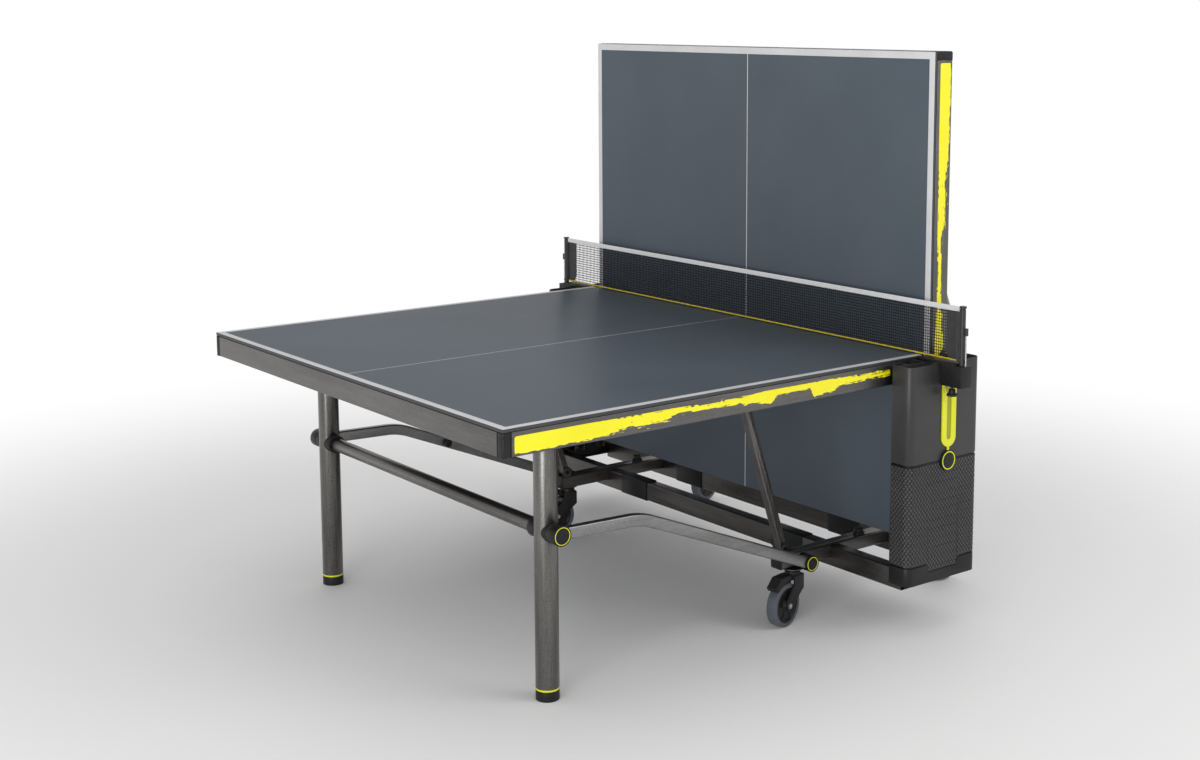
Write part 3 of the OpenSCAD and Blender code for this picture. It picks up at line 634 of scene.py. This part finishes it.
def stroke(u, v, length, height):
    """Above 0 where the dry brush left paint."""
    share, across = u / length, v / height
    ragged = 0.055 * noise.noise((u * 70, 3.1, 0)) + 0.04 * noise.noise((u * 230, 7.7, 0))
    top = step_list(share, STROKE_TOP) + ragged
    low = step_list(share, STROKE_LOW) + 0.9 * noise.noise((u * 60, 11.3, 0)) * 0.07
    inside = min(top - across, across - low) * 4.5
    streak = noise.noise((u * 22, v * 620, 1.7)) + 0.6 * noise.noise((u * 90, v * 900, 5.2))
    dry = step_list(share, STROKE_DRY)
    ends = min(share / 0.006, (STROKE_END - share) / 0.02) * 0.5
    corner = 0.35 - hypot(max(0.010 - u, 0) * 60, max(across - 0.72, 0) * 3.2)
    return min(inside + streak * dry * 1.7, ends, corner * 3) - 0.06 - dry * 0.4


def paint_cells(length, height, nu, nv):
    """Polygons of the stroke, from marching squares over a grid of nu by nv cells."""
    value = [[stroke(length * i / nu, height * j / nv, length, height) for j in range(nv + 1)]
             for i in range(nu + 1)]
    points, index, cells = [], {}, []

    def corner(i, j):
        key = (i, j)
        if key not in index:
            index[key] = len(points)
            points.append((length * i / nu, height * j / nv))
        return index[key]

    def crossing(a, b):
        key = (min(a, b), max(a, b))
        if key not in index:
            va, vb = value[key[0][0]][key[0][1]], value[key[1][0]][key[1][1]]
            t = min(max(va / (va - vb), 0.02), 0.98)
            index[key] = len(points)
            points.append((length * (key[0][0] + t * (key[1][0] - key[0][0])) / nu,
                           height * (key[0][1] + t * (key[1][1] - key[0][1])) / nv))
        return index[key]

    for i in range(nu):
        for j in range(nv):
            loop = ((i, j), (i + 1, j), (i + 1, j + 1), (i, j + 1))
            shape = []
            for a, b in zip(loop, loop[1:] + loop[:1]):
                if value[a[0]][a[1]] > 0:
                    shape.append(corner(*a))
                if (value[a[0]][a[1]] > 0) != (value[b[0]][b[1]] > 0):
                    shape.append(crossing(a, b))
            if len(shape) > 2:
                cells.append(shape)
    return points, cells


STRIPE_GAP = 0.15 * MM


def stripes(half, painted):
    """The brush stroke on both side aprons, as a thin film just off the steel."""
    points, cells = painted
    x0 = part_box("flat_side_rails")[0].x + 2 * MM
    bm = bmesh.new()
    for side in (-1, 1):
        y = side * (HALF_W + STRIPE_GAP)
        verts = [bm.verts.new((x0 + u, y, APRON_Z + v)) for u, v in points]
        for cell in cells:
            bm.faces.new([verts[k] for k in (cell if side < 0 else reversed(cell))])
    piece(bm, half + "_stripes", ["stripe"], half + "_half", PLACES[half]["half"])


def hex_head(bm, centre, axis, size, height, mat=0):
    """A bolt's head with a chamfered top and a washer."""
    sign = 1 if height > 0 else -1
    h = abs(height)
    lathe(bm, [(size * 0.62, 0), (size * 0.62, sign * h * 0.2)], centre, axis, 24, mat)
    head = [(size / 2, sign * h * 0.2), (size / 2, sign * h * 0.85), (size * 0.42, sign * h)]
    lathe(bm, head, centre, axis, 6, mat)


def sweep(bm, points, outline):
    """A bar of a section along points; the section's height stays upright."""
    rings = []
    for i, p in enumerate(points):
        along = (points[min(i + 1, len(points) - 1)] - points[max(i - 1, 0)]).normalized()
        across = along.cross(Vector((0, 0, 1))).normalized()
        up = across.cross(along)
        rings.append([p + across * w + up * h for w, h in outline])
    loft(bm, rings)


def rounded_bend(a, corner, b, radius, steps=10):
    """Points of an arc that rounds the corner between two straight runs."""
    u, v = (a - corner).normalized(), (b - corner).normalized()
    half_angle = u.angle(v) / 2
    centre = corner + (u + v).normalized() * (radius / sin(half_angle))
    run = radius * cos(half_angle) / sin(half_angle)
    start = (corner + u * run - centre).normalized()
    end = (corner + v * run - centre).normalized()
    return [centre + start.slerp(end, i / steps) * radius for i in range(steps + 1)]


HUB_R = 26 * MM
BASE_HUB_R = 23 * MM
# From a base hub's outer face in to the strut's middle
HUB_DEPTH = 16 * MM
# A ring groove's inner and outer edge, in from the hub's edge
GROOVE = (5.5 * MM, 3.5 * MM)
# Where a strut bends: back from the net, and up from the floor
BEND = (0.861, 0.424)
BEND_R = 220 * MM
STRUT_W = 22 * MM
STRUT_H = 32 * MM


def struts(half):
    """The struts, with a rounded bend, from the leg hubs to the base hubs."""
    hub, leg = pivot("flat_strut_swing"), span("flat_leg_bar")[2]
    leg_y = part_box("flat_struts")[1].y - STRUT_W / 2
    hub_y = reach_y("flat_strut_hubs", hub, BASE_HUB_R + 1 * MM) - HUB_DEPTH
    bm = bmesh.new()
    for side in (-1, 1):
        a = Vector((leg.x + 18 * MM, side * leg_y, leg.z - 1 * MM))
        bend = Vector((NET_X - BEND[0], side * leg_y, BEND[1]))
        b = Vector((hub.x - 16 * MM, side * hub_y, hub.z + 5 * MM))
        sweep(bm, [a] + rounded_bend(a, bend, b, BEND_R) + [b], rounded_rect(STRUT_W, STRUT_H, 4.5 * MM))
    piece(bm, half + "_strut_bars", ["strut"], half + "_strut_set", PLACES[half]["strut"],
          (half + "_struts",), 50)


def half_bolts(half):
    """The heads of the leg hinges' and the braces' bolts."""
    leg, brace = pivot("flat_leg_fold"), pivot("flat_brace_swing")
    leg_y = reach_y("flat_under_frame", leg, 20 * MM)
    brace_y = reach_y("flat_under_frame", brace, 20 * MM)
    bm = bmesh.new()
    for side in (-1, 1):
        hex_head(bm, (leg.x, side * leg_y, leg.z), "y", 15 * MM, side * 5 * MM)
        hex_head(bm, (brace.x, side * brace_y, brace.z), "y", 12 * MM, side * 4.5 * MM)
    piece(bm, half + "_bolts", ["zinc"], half + "_half", PLACES[half]["half"])


def ring_inlay(bm, centre, y_face, inner, outer, lime=0, cap=1):
    """A coloured ring in a hub's groove, and the shallow dome inside it, facing away from the middle."""
    out = 1 if y_face > 0 else -1
    place = (centre.x, y_face, centre.z)
    proud, deep, fine = 0.5 * MM, 1.1 * MM, 0.25 * MM
    ring = [(inner, -out * deep), (inner, out * (proud - fine)), (inner + fine, out * proud),
            (outer - fine, out * proud), (outer, out * (proud - fine)), (outer, -out * deep)]
    lathe(bm, ring, place, "y", 56, lime)
    r = inner - 1.6 * MM
    dome = [(r, 0), (r * 0.98, out * 0.5 * MM), (r * 0.9, out * 0.8 * MM), (r * 0.45, out * 1.1 * MM),
            (r * 0.3, out * 1.15 * MM), (r * 0.26, out * 0.7 * MM), (r * 0.02, out * 0.6 * MM)]
    lathe(bm, dome, place, "y", 40, cap)


def hub_rings(half):
    centres = ((span("flat_leg_bar")[2], HUB_R), (pivot("flat_strut_swing"), BASE_HUB_R))
    bm = bmesh.new()
    for centre, radius in centres:
        y = reach_y("flat_strut_hubs", centre, radius + 1 * MM)
        for side in (-1, 1):
            ring_inlay(bm, centre, side * y, radius - GROOVE[0], radius - GROOVE[1])
    piece(bm, half + "_hub_rings", ["lime", "rough_black"], half + "_strut_set",
          PLACES[half]["strut"])


# The lowest and highest point of the foot's ring over the floor
FOOT_RING = (26.3 * MM, 30.8 * MM)


def foot_ring(half, which):
    """The coloured ring on the foot's cap."""
    low, high, centre = span(f"flat_foot_{which}")
    r = (high.x - low.x) / 2
    z0, z1 = FOOT_RING
    deep, fine = 1.5 * MM, 0.2 * MM
    bm = bmesh.new()
    ring = [(r - deep, z0), (r - fine, z0), (r, z0 + 0.3 * MM),
            (r, z1 - 0.3 * MM), (r - fine, z1), (r - deep, z1)]
    lathe(bm, ring, (centre.x, centre.y, 0), "z", 56)
    body = f"{half}_foot_{which}_body"
    piece(bm, f"{half}_foot_{which}_ring", ["lime"], body, PLACES[half]["leg"])


# Parts whose CAD shape is right: their material, place and edge radius in mm
HALF_SHELLS = (
    ("net_rail", "steel_y", "half", 0.8), ("under_frame", "deep_x", "half", 0.8),
    ("legs", "steel_z", "leg", 0.8), ("leg_bar", "steel_y", "leg", 0.6),
    ("leg_collars", "rough_black", "leg", 1.6), ("strut_hubs", "black", "strut", 1.0),
    ("braces", "steel_z", "brace", 0.8), ("carriage", "black", "carriage", 1.0),
    ("foot_near", "rough_black", "leg", 1.6), ("foot_far", "rough_black", "leg", 1.6))


def add_halves():
    low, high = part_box("flat_side_rails")
    length, height = high.x - low.x - 8 * MM, APRON_TOP - APRON_Z
    painted = paint_cells(length, height, 420, 44)
    for half in HALVES:
        board(half)
        aprons(half)
        corner_caps(half)
        stripes(half, painted)
        half_bolts(half)
        struts(half)
        hub_rings(half)
        for which in ("near", "far"):
            foot_ring(half, which)
        for part, material, place, width in HALF_SHELLS:
            refine(f"{half}_{part}", material, width * MM, PLACES[half][place])


# ---- Side boxes ----

DIAMOND_W = 12 * MM
DIAMOND_H = 15 * MM
DIAMOND_DEEP = 1.8 * MM
GRID = 1.5 * MM
BOX_R = 22 * MM
BOX_WALL = 3 * MM
# From the board's edge out to a box's shell
BOX_GAP = 15.5 * MM
# The gap between the shells of a side box, dark by its depth and by painted shade on the faces inside it
SEAM_GAP = 6.0 * MM
# Half the width of the tongue at the foot of the lower shell, and the length of its slope
NOTCH_X = 55 * MM
NOTCH_SLOPE = 8 * MM


def diamond(u, z):
    """The height of the raised diamonds, from 0 to 1."""
    a, b = u / DIAMOND_W, z / DIAMOND_H
    best = 0.0
    for shift in (0.0, 0.5):
        fa = abs((a + shift) - floor(a + shift) - 0.5)
        fb = abs((b + shift) - floor(b + shift) - 0.5)
        best = max(best, 1 - (fa + fb) / 0.5)
    return smooth(best * 1.6)


def box_path(half_x, y0, y1, r, step):
    """Points of a box's outline in plan with their normals, from one inner edge round to the other."""
    side, front, bend = (max(1, round(d / step)) for d in (y1 - r - y0, 2 * (half_x - r), pi / 2 * r))

    def corner(cx, start):
        angles = [start - pi / 2 * i / bend for i in range(bend)]
        return [(cx + r * cos(a), y1 - r + r * sin(a), cos(a), sin(a)) for a in angles]

    points = [(-half_x, y0 + (y1 - r - y0) * i / side, -1, 0) for i in range(side)]
    points += corner(r - half_x, pi)
    points += [(r - half_x + 2 * (half_x - r) * i / front, y1, 0, 1) for i in range(front)]
    points += corner(half_x - r, pi / 2)
    points += [(half_x, y1 - r - (y1 - r - y0) * i / side, 1, 0) for i in range(side + 1)]
    return points


def lower_bin(bm, side):
    """A shell with raised diamonds, and a tongue that fills the base shell's step."""
    low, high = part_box("lower_bins")
    half_x, y0, y1 = (high.x - low.x) / 2, HALF_W + BOX_GAP, high.y
    top, tongue = high.z - SEAM_GAP, low.z + SEAM_GAP / 2
    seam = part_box("bin_bases")[1].z + SEAM_GAP
    outer = box_path(half_x, y0, y1, BOX_R, GRID)
    inset = BOX_WALL + 0.1 * MM
    inner = box_path(half_x - inset, y0, y1 - inset, BOX_R - inset, 9 * MM)

    def bottom(x):
        t = (abs(x) - NOTCH_X) / NOTCH_SLOPE
        return tongue + (seam - tongue) * min(max(t, 0.0), 1.0)

    rows, margin = 170, 5 * MM
    lengths = [0.0]
    for a, b in zip(outer, outer[1:]):
        lengths.append(lengths[-1] + hypot(b[0] - a[0], b[1] - a[1]))
    rings = []
    for k in range(rows + 1):
        ring = []
        for (x, y, nx, ny), u in zip(outer, lengths):
            z = bottom(x) + (top - bottom(x)) * k / rows
            fade = smooth(min(top - z, z - bottom(x)) / margin) * smooth((y - y0 - 6 * MM) / margin)
            h = (diamond(u, z) - 1) * DIAMOND_DEEP * fade
            ring.append((NET_X + x + nx * h, side * (y + ny * h), z))
        for x, y, nx, ny in reversed(inner):
            # the inner face reaches past both seams, so no light comes through them
            low_z, high_z = bottom(x) - SEAM_GAP - 3 * MM, high.z + 2 * MM
            ring.append((NET_X + x, side * y, low_z + (high_z - low_z) * k / rows))
        rings.append(ring)
    first, across = len(bm.faces), len(rings[0])
    loft(bm, rings)
    bm.faces.ensure_lookup_table()
    # Faces between the raised diamonds, the rims at the seams and the inner faces take the groove colour, which is
    # painted shade
    for n, face in enumerate(bm.faces[first:]):
        k, i = divmod(n, across)
        outside = k < rows and i < len(outer) - 1
        raised = outside and diamond(lengths[i] + GRID / 2, face.calc_center_median().z) >= 0.4
        face.material_index = 0 if raised else 1


def lower_bins():
    bm = bmesh.new()
    for side in (-1, 1):
        lower_bin(bm, side)
    piece(bm, "textured_bins", ["bin_tex", "groove"], "root",
          replaces=("lower_bins",), angle=60)


# From the slot's top down to the middle of its round end
TRIM_H = 193 * MM


def slot_trims():
    """The slot's inlay, with its darker panel in the groove and a narrow stem."""
    low, high, centre = span("slot_trims")
    bm = from_cad("slot_trims")
    soften(bm, 0.7 * MM)
    face = high.y - 2.5 * MM
    floor_gap = 0.15 * MM
    arc_z = high.z - TRIM_H
    groove = 8.6 * MM
    neck, shoulder, top = arc_z + 121 * MM, arc_z + 150 * MM, high.z - 6.5 * MM
    flare = (high.x - low.x) / 2 - 5.5 * MM
    outline = arc(0, arc_z + 2 * MM, groove, 180, 360, 16)
    right = [(groove, neck), (flare, shoulder), (flare, top)]
    outline += right + [(-p, z) for p, z in reversed(right)]
    for side in (-1, 1):
        placed = [(centre.x + p, z) for p, z in outline]
        extrude(bm, placed, side * (face + floor_gap), side * (face + 3 * floor_gap), "y", mat=1)
    piece(bm, "slot_inlays", ["lime", "olive"], "root", replaces=("slot_trims",))


def seam_badges():
    low, high, centre = span("seam_badges")
    radius = (high.z - low.z) / 2
    bm = from_cad("seam_badges")
    soften(bm, 0.8 * MM)
    for f in bm.faces:
        f.material_index = 1
    for side in (-1, 1):
        ring_inlay(bm, centre, side * high.y, radius - GROOVE[0], radius - GROOVE[1] + 1 * MM)
    piece(bm, "round_badges", ["lime", "rough_black"], "root", replaces=("seam_badges",))


# ---- Net ----

PITCH = 8 * MM
STRAND = 1.0 * MM
KNOT = 1.35 * MM
OCTAHEDRON = ((1, 0, 0), (0, 1, 0), (-1, 0, 0), (0, -1, 0), (0, 0, 1), (0, 0, -1))


def net_lattice():
    """Knotted strands: each one runs through the knots, which lie a little unevenly."""
    low, high, centre = span("net_mesh")
    columns = round((high.y - low.y) / PITCH)
    z1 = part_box("net_tape")[0].z + 4 * MM
    z0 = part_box("net_cord")[1].z - 1.0 * MM
    rows = round((z1 - z0) / PITCH)

    def knot(i, j):
        y = low.y + (high.y - low.y) * i / columns
        z = z0 + (z1 - z0) * j / rows
        dy = 0.45 * MM * noise.noise((i * 0.73, j * 0.61, 2.3))
        dz = 0.45 * MM * noise.noise((i * 0.57, j * 0.79, 8.1))
        return Vector((centre.x, y + dy, z + dz))

    bm = bmesh.new()
    for i in range(columns + 1):
        sway = 0.25 * MM * (-1) ** i
        rod(bm, [knot(i, j) + Vector((sway * (-1) ** j, 0, 0)) for j in range(rows + 1)], STRAND, 4)
    for j in range(rows + 1):
        rod(bm, [knot(i, j) for i in range(columns + 1)], STRAND, 4)
    for i in range(columns + 1):
        for j in range(rows + 1):
            c = knot(i, j)
            tips = (Vector(d) * KNOT for d in OCTAHEDRON)
            *waist, top, under = [bm.verts.new(c + tip) for tip in tips]
            for a, b in zip(waist, waist[1:] + waist[:1]):
                bm.faces.new((a, b, top))
                bm.faces.new((b, a, under))
    net = piece(bm, "net_lattice", ["strand"], "root", replaces=("net_mesh",), angle=80)
    return net, (high.y - low.y, z1 - z0)


def net_tape():
    """The folded tape along the top, with two rows of stitches."""
    low, high, centre = span("net_tape")
    x = centre.x
    half_t, r = (high.x - low.x) / 2, 1.9 * MM
    top, hem = high.z - r, low.z
    profile = [(half_t * 0.55, hem), (half_t, hem + 1 * MM), (half_t * 0.9, hem + 3 * MM),
               (half_t, hem + 6 * MM)]
    section = profile + arc(0, top, r, 0, 180, 10) + [(-p, z) for p, z in reversed(profile)]
    bm = bmesh.new()
    steps = 120
    rings = []
    for k in range(steps + 1):
        y = low.y + (high.y - low.y) * k / steps
        wave = 0.25 * MM * noise.noise((y * 14, 0.4, 3.9))
        rings.append([(x + p + wave, y, z) for p, z in section])
    loft(bm, rings)
    stitch = 4 * MM
    for k in range(int((high.y - low.y) / stitch / 1.6)):
        y = low.y + 3 * MM + k * stitch * 1.6
        for s in (-1, 1):
            xs = x + s * (half_t + 0.05 * MM)
            rod(bm, [(xs, y, hem + 2.6 * MM), (xs + s * 0.25 * MM, y + stitch / 2, hem + 2.6 * MM),
                     (xs, y + stitch, hem + 2.6 * MM)], 0.28 * MM, 5)
    return piece(bm, "net_top_tape", ["tape"], "root", replaces=("net_tape",))


def net_cord():
    """The braided cord along the lower edge."""
    low, high, centre = span("net_cord")
    r = (high.z - low.z) / 2
    bm = bmesh.new()
    steps, sides = 420, 12
    rings = []
    for k in range(steps + 1):
        y = low.y + (high.y - low.y) * k / steps
        ring = []
        for i in range(sides):
            a = 2 * pi * i / sides
            lay = r * (0.90 + 0.09 * cos(3 * a + k * 0.9))
            ring.append((centre.x + lay * cos(a), y, centre.z + lay * sin(a)))
        rings.append(ring)
    loft(bm, rings)
    return piece(bm, "net_lower_cord", ["braid"], "root", replaces=("net_cord",), angle=70)


def net_sleeves():
    """The black sleeves at the net's ends, which the posts run through."""
    _, high, centre = span("net_mesh")
    z0, z1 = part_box("net_cord")[0].z + 1 * MM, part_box("net_tape")[0].z + 1 * MM
    x, length, t = centre.x, 44 * MM, 1.3 * MM
    post_r = 10.2 * MM
    post_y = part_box("net_posts")[1].y - 23 * MM
    bm = bmesh.new()
    for side in (-1, 1):
        y_in = high.y - length
        rings = []
        rows = 24
        for k in range(rows + 1):
            z = z0 + (z1 - z0) * k / rows
            pucker = 0.35 * MM * sin(k * 2.1)
            taper = 10 * MM * smooth((0.18 - k / rows) / 0.18)
            points = [(x + t + pucker, y_in + taper), (x + t + pucker, high.y)]
            points += [(x + post_r * sin(radians(a)), post_y - post_r * cos(radians(a)))
                       for a in range(20, 341, 20)]
            points += [(x - t + pucker, high.y), (x - t + pucker, y_in + taper)]
            rings.append([(px, side * py, z) for px, py in points])
        loft(bm, rings)
    return piece(bm, "net_end_sleeves", ["sleeve"], "root", angle=50)


# A post's clips in mm: half the width, short of the post's outer face, lowest and highest point over its foot
CLIPS = ((5, 0, 92, 112), (3, 3, 18, 26))
# The tension rod in mm: short of the outer face, and height over the post's foot
BRIGHT_ROD = ((3.5, 112), (3, 60), (3.5, -18))


def net_posts():
    """Posts with caps, a tension clip and its bright rod."""
    low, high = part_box("net_posts")
    mid_x = span("net_mesh")[2].x
    post_y, r = high.y - 16 * MM, 8 * MM
    bm = bmesh.new()
    for side in (-1, 1):
        place = (mid_x, side * post_y, 0)
        tube = [(r, low.z), (r, high.z - 9 * MM), (r - 1.2 * MM, high.z - 8.4 * MM),
                (r - 1.2 * MM, high.z - 6 * MM), (r + 1.6 * MM, high.z - 5.4 * MM),
                (r + 1.6 * MM, high.z - 0.8 * MM), (r + 0.8 * MM, high.z)]
        lathe(bm, tube, place, "z", 40)
        y0, y1 = post_y + r - 1 * MM, high.y
        for clip, short, z0, z1 in CLIPS:
            ya, yb = sorted((side * y0, side * (y1 - short * MM)))
            block(bm, (mid_x - clip * MM, ya, low.z + z0 * MM), (mid_x + clip * MM, yb, low.z + z1 * MM))
        bright = [(mid_x, side * (y1 - short * MM), low.z + t * MM) for short, t in BRIGHT_ROD]
        rod(bm, bright, 1.9 * MM, 12, 1)
        button = [(0.5 * MM, 1.5 * MM), (3.4 * MM, 1.5 * MM), (3.4 * MM, 4 * MM), (0.5 * MM, 4 * MM)]
        lathe(bm, button, (mid_x, side * (post_y + r), low.z + 34 * MM), "y", 16, 1)
    soften(bm, 0.5 * MM, 2, 40)
    piece(bm, "net_post_tubes", ["powder", "zinc"], "root", replaces=("net_posts",))


# The clamp screw's thread pitch in mm
THREAD = 1.9


def scalloped(bm, centre, radius, depth, lobes, profile):
    """A knob turned from (share of the radius, height) with scallops round it."""
    rings = []
    for share, t in profile:
        ring = []
        for i in range(72):
            a = 2 * pi * i / 72
            r = radius * share - depth * (0.5 + 0.5 * cos(lobes * a))
            ring.append((centre[0] + r * cos(a), centre[1] + r * sin(a), centre[2] + t * MM))
        rings.append(ring)
    loft(bm, rings)


def clamp_screw(which):
    """A clamp's screw, with threads and a scalloped knob."""
    node = "clamp_screw_" + which
    low, high, centre = span(node)
    foot = (centre.x, centre.y, low.z)
    bm = bmesh.new()
    knob = ((0.92, 0), (1.0, 0.8), (1.0, 6.2), (0.92, 7))
    scalloped(bm, foot, (high.x - low.x) / 2, 1.3 * MM, 9, knob)
    stem = [(10 * MM, 7 * MM), (9.4 * MM, 18 * MM), (8 * MM, 20 * MM)]
    lathe(bm, stem, foot, "z", 32)
    thread = []
    for k in range(19):
        t = (20 + THREAD * k) * MM
        thread += [(4.9 * MM, t), (4.2 * MM, t + THREAD / 2 * MM)]
    lathe(bm, thread, foot, "z", 24, 1)
    piece(bm, f"net_{which}_screw", ["rough_black", "zinc"], "net_screw_" + which,
          replaces=(node,))


def add_net():
    net, flat = net_lattice()
    with_pieces = [net_tape(), net_cord(), net_sleeves()]
    net_posts()
    for which in ("near", "far"):
        clamp_screw(which)


# ---- Casters ----


def caster_place(i):
    """X along the trail from the swivel axis, at the floor."""
    swivel, axle = pivot(f"caster_{i}_swivel_turn"), pivot(f"caster_{i}_wheel_spin")
    along = Vector((axle.x - swivel.x, axle.y - swivel.y, 0))
    angle = Vector((1, 0)).angle_signed(along.to_2d())
    place = Matrix.Translation((swivel.x, swivel.y, 0)) @ Matrix.Rotation(-angle, 4, "Z")
    return place, along.length, axle.z


WHEEL_W = 32 * MM


def caster_wheel(i):
    place, trail, r = caster_place(i)
    axle = (trail, 0, r)
    w = WHEEL_W / 2
    rim = r - 13 * MM
    bm = bmesh.new()
    tread = [(rim, -w + 1.5 * MM), (rim + 1 * MM, -w), (r - 6 * MM, -w), (r - 4 * MM, -w + 0.7 * MM)]
    tread += [(r - 4 * MM + 4 * MM * sqrt(max(0, 1 - (t / 10) ** 2 * 0.55)) - 0.01 * MM, t * 1.34 * MM)
              for t in range(-10, 11)]
    tread += [(r - 4 * MM, w - 0.7 * MM), (r - 6 * MM, w), (rim + 1 * MM, w), (rim, w - 1.5 * MM)]
    lathe(bm, tread, axle, "y", 72, 0, capped=False)
    disc = [(9 * MM, -w - 2 * MM), (13 * MM, -w - 2 * MM), (14 * MM, -w + 1 * MM), (19 * MM, -w + 5 * MM),
            (rim - 8 * MM, -w + 5 * MM), (rim - 4 * MM, -w + 1 * MM), (rim - 0.2 * MM, -w + 1 * MM)]
    disc += [(p, -t) for p, t in reversed(disc)]
    lathe(bm, disc, axle, "y", 72, 1)
    rib_w, rib_t = w - 3.5 * MM, 1.5 * MM
    for k in range(6):
        first = len(bm.verts)
        block(bm, (15 * MM, -rib_w, -rib_t), (rim - 5 * MM, rib_w, rib_t), 1)
        bm.verts.ensure_lookup_table()
        turned = Matrix.Translation(axle) @ Matrix.Rotation(2 * pi * k / 6, 4, "Y")
        bmesh.ops.transform(bm, matrix=turned, verts=bm.verts[first:])
    reach = w + 9.5 * MM
    lathe(bm, [(4.9 * MM, -reach), (4.9 * MM, reach)], axle, "y", 20, 2)
    for side in (-1, 1):
        hex_head(bm, (trail, side * (w + 8.2 * MM), r), "y", 13 * MM, side * 4 * MM, 2)
    piece(bm, f"caster_{i}_tyre", ["tyre", "black", "zinc"], f"caster_{i}_roller", place,
          (f"caster_{i}_wheel",))


def caster_pedal(i):
    """The brake pedal with ribs across its tread."""

    def ribs(bm):
        for k in range(6):
            t = k / 5
            x, z = (76 + 24 * t) * MM, (144.6 - 21.5 * t) * MM
            rod(bm, [(x, -15 * MM, z), (x, 15 * MM, z)], 1.5 * MM, 8)

    refine(f"caster_{i}_pedal", "rough_black", 1.6 * MM, caster_place(i)[0], ribs)


def add_casters():
    for i in range(1, 5):
        caster_wheel(i)
        caster_pedal(i)
        refine(f"caster_{i}_fork", "rough_black", 1.5 * MM, caster_place(i)[0])


# ---- Undercarriage ----


def tube_plugs():
    """Plastic plugs in the ends of the cross tubes."""
    low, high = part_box("cross_tubes")
    bm = bmesh.new()
    mid_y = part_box("base_hubs")[1].y - 37 * MM
    z = pivot("flat_strut_swing").z + 5 * MM
    width, height = 44 * MM, 40 * MM
    for x, out in ((low.x, -1), (high.x, 1)):
        for side in (-1, 1):
            for inset, t0, t1 in ((0, 0, 2.2), (2.4, -12, 0)):
                section = rounded_rect(width - 2 * inset * MM, height - 2 * inset * MM, 4.5 * MM)
                outline = [(side * mid_y + p, z + q) for p, q in section]
                extrude(bm, outline, x + out * t0 * MM, x + out * t1 * MM, "x")
    bmesh.ops.recalc_face_normals(bm, faces=bm.faces)
    soften(bm, 0.7 * MM, 2, 50)
    piece(bm, "tube_plugs", ["black"], "root")


def knobs():
    """Scalloped knobs on the cross tubes."""
    low, high, centre = span("lock_knobs")
    r = 17 * MM
    profile = ((1.0, 0), (1.0, 5), (0.94, 6), (0.76, 6.4), (0.76, 16), (0.66, 18))
    bm = bmesh.new()
    for side in (-1, 1):
        scalloped(bm, (centre.x, side * (high.y - r), low.z), r, 0.9 * MM, 12, profile)
    piece(bm, "locking_knobs", ["black"], "root", replaces=("lock_knobs",))


# Fixed parts whose CAD shape is right: their material and edge radius in mm
BASE_SHELLS = (
    ("base_beams", "deep_y", 0.8), ("cross_tubes", "deep_x", 0.8), ("base_hubs", "black", 1.2),
    ("guide_columns", "deep_z", 0.5), ("bin_bases", "black", 1.2), ("upper_bins", "bin", 1.0),
    ("beam_pads", "black", 0.8), ("net_brackets", "rough_black", 1.2))


def add_base():
    for node, material, width in BASE_SHELLS:
        refine(node, material, width * MM)
    lower_bins()
    slot_trims()
    seam_badges()
    tube_plugs()
    knobs()


add_stage()
add_halves()
add_net()
add_casters()
add_base()
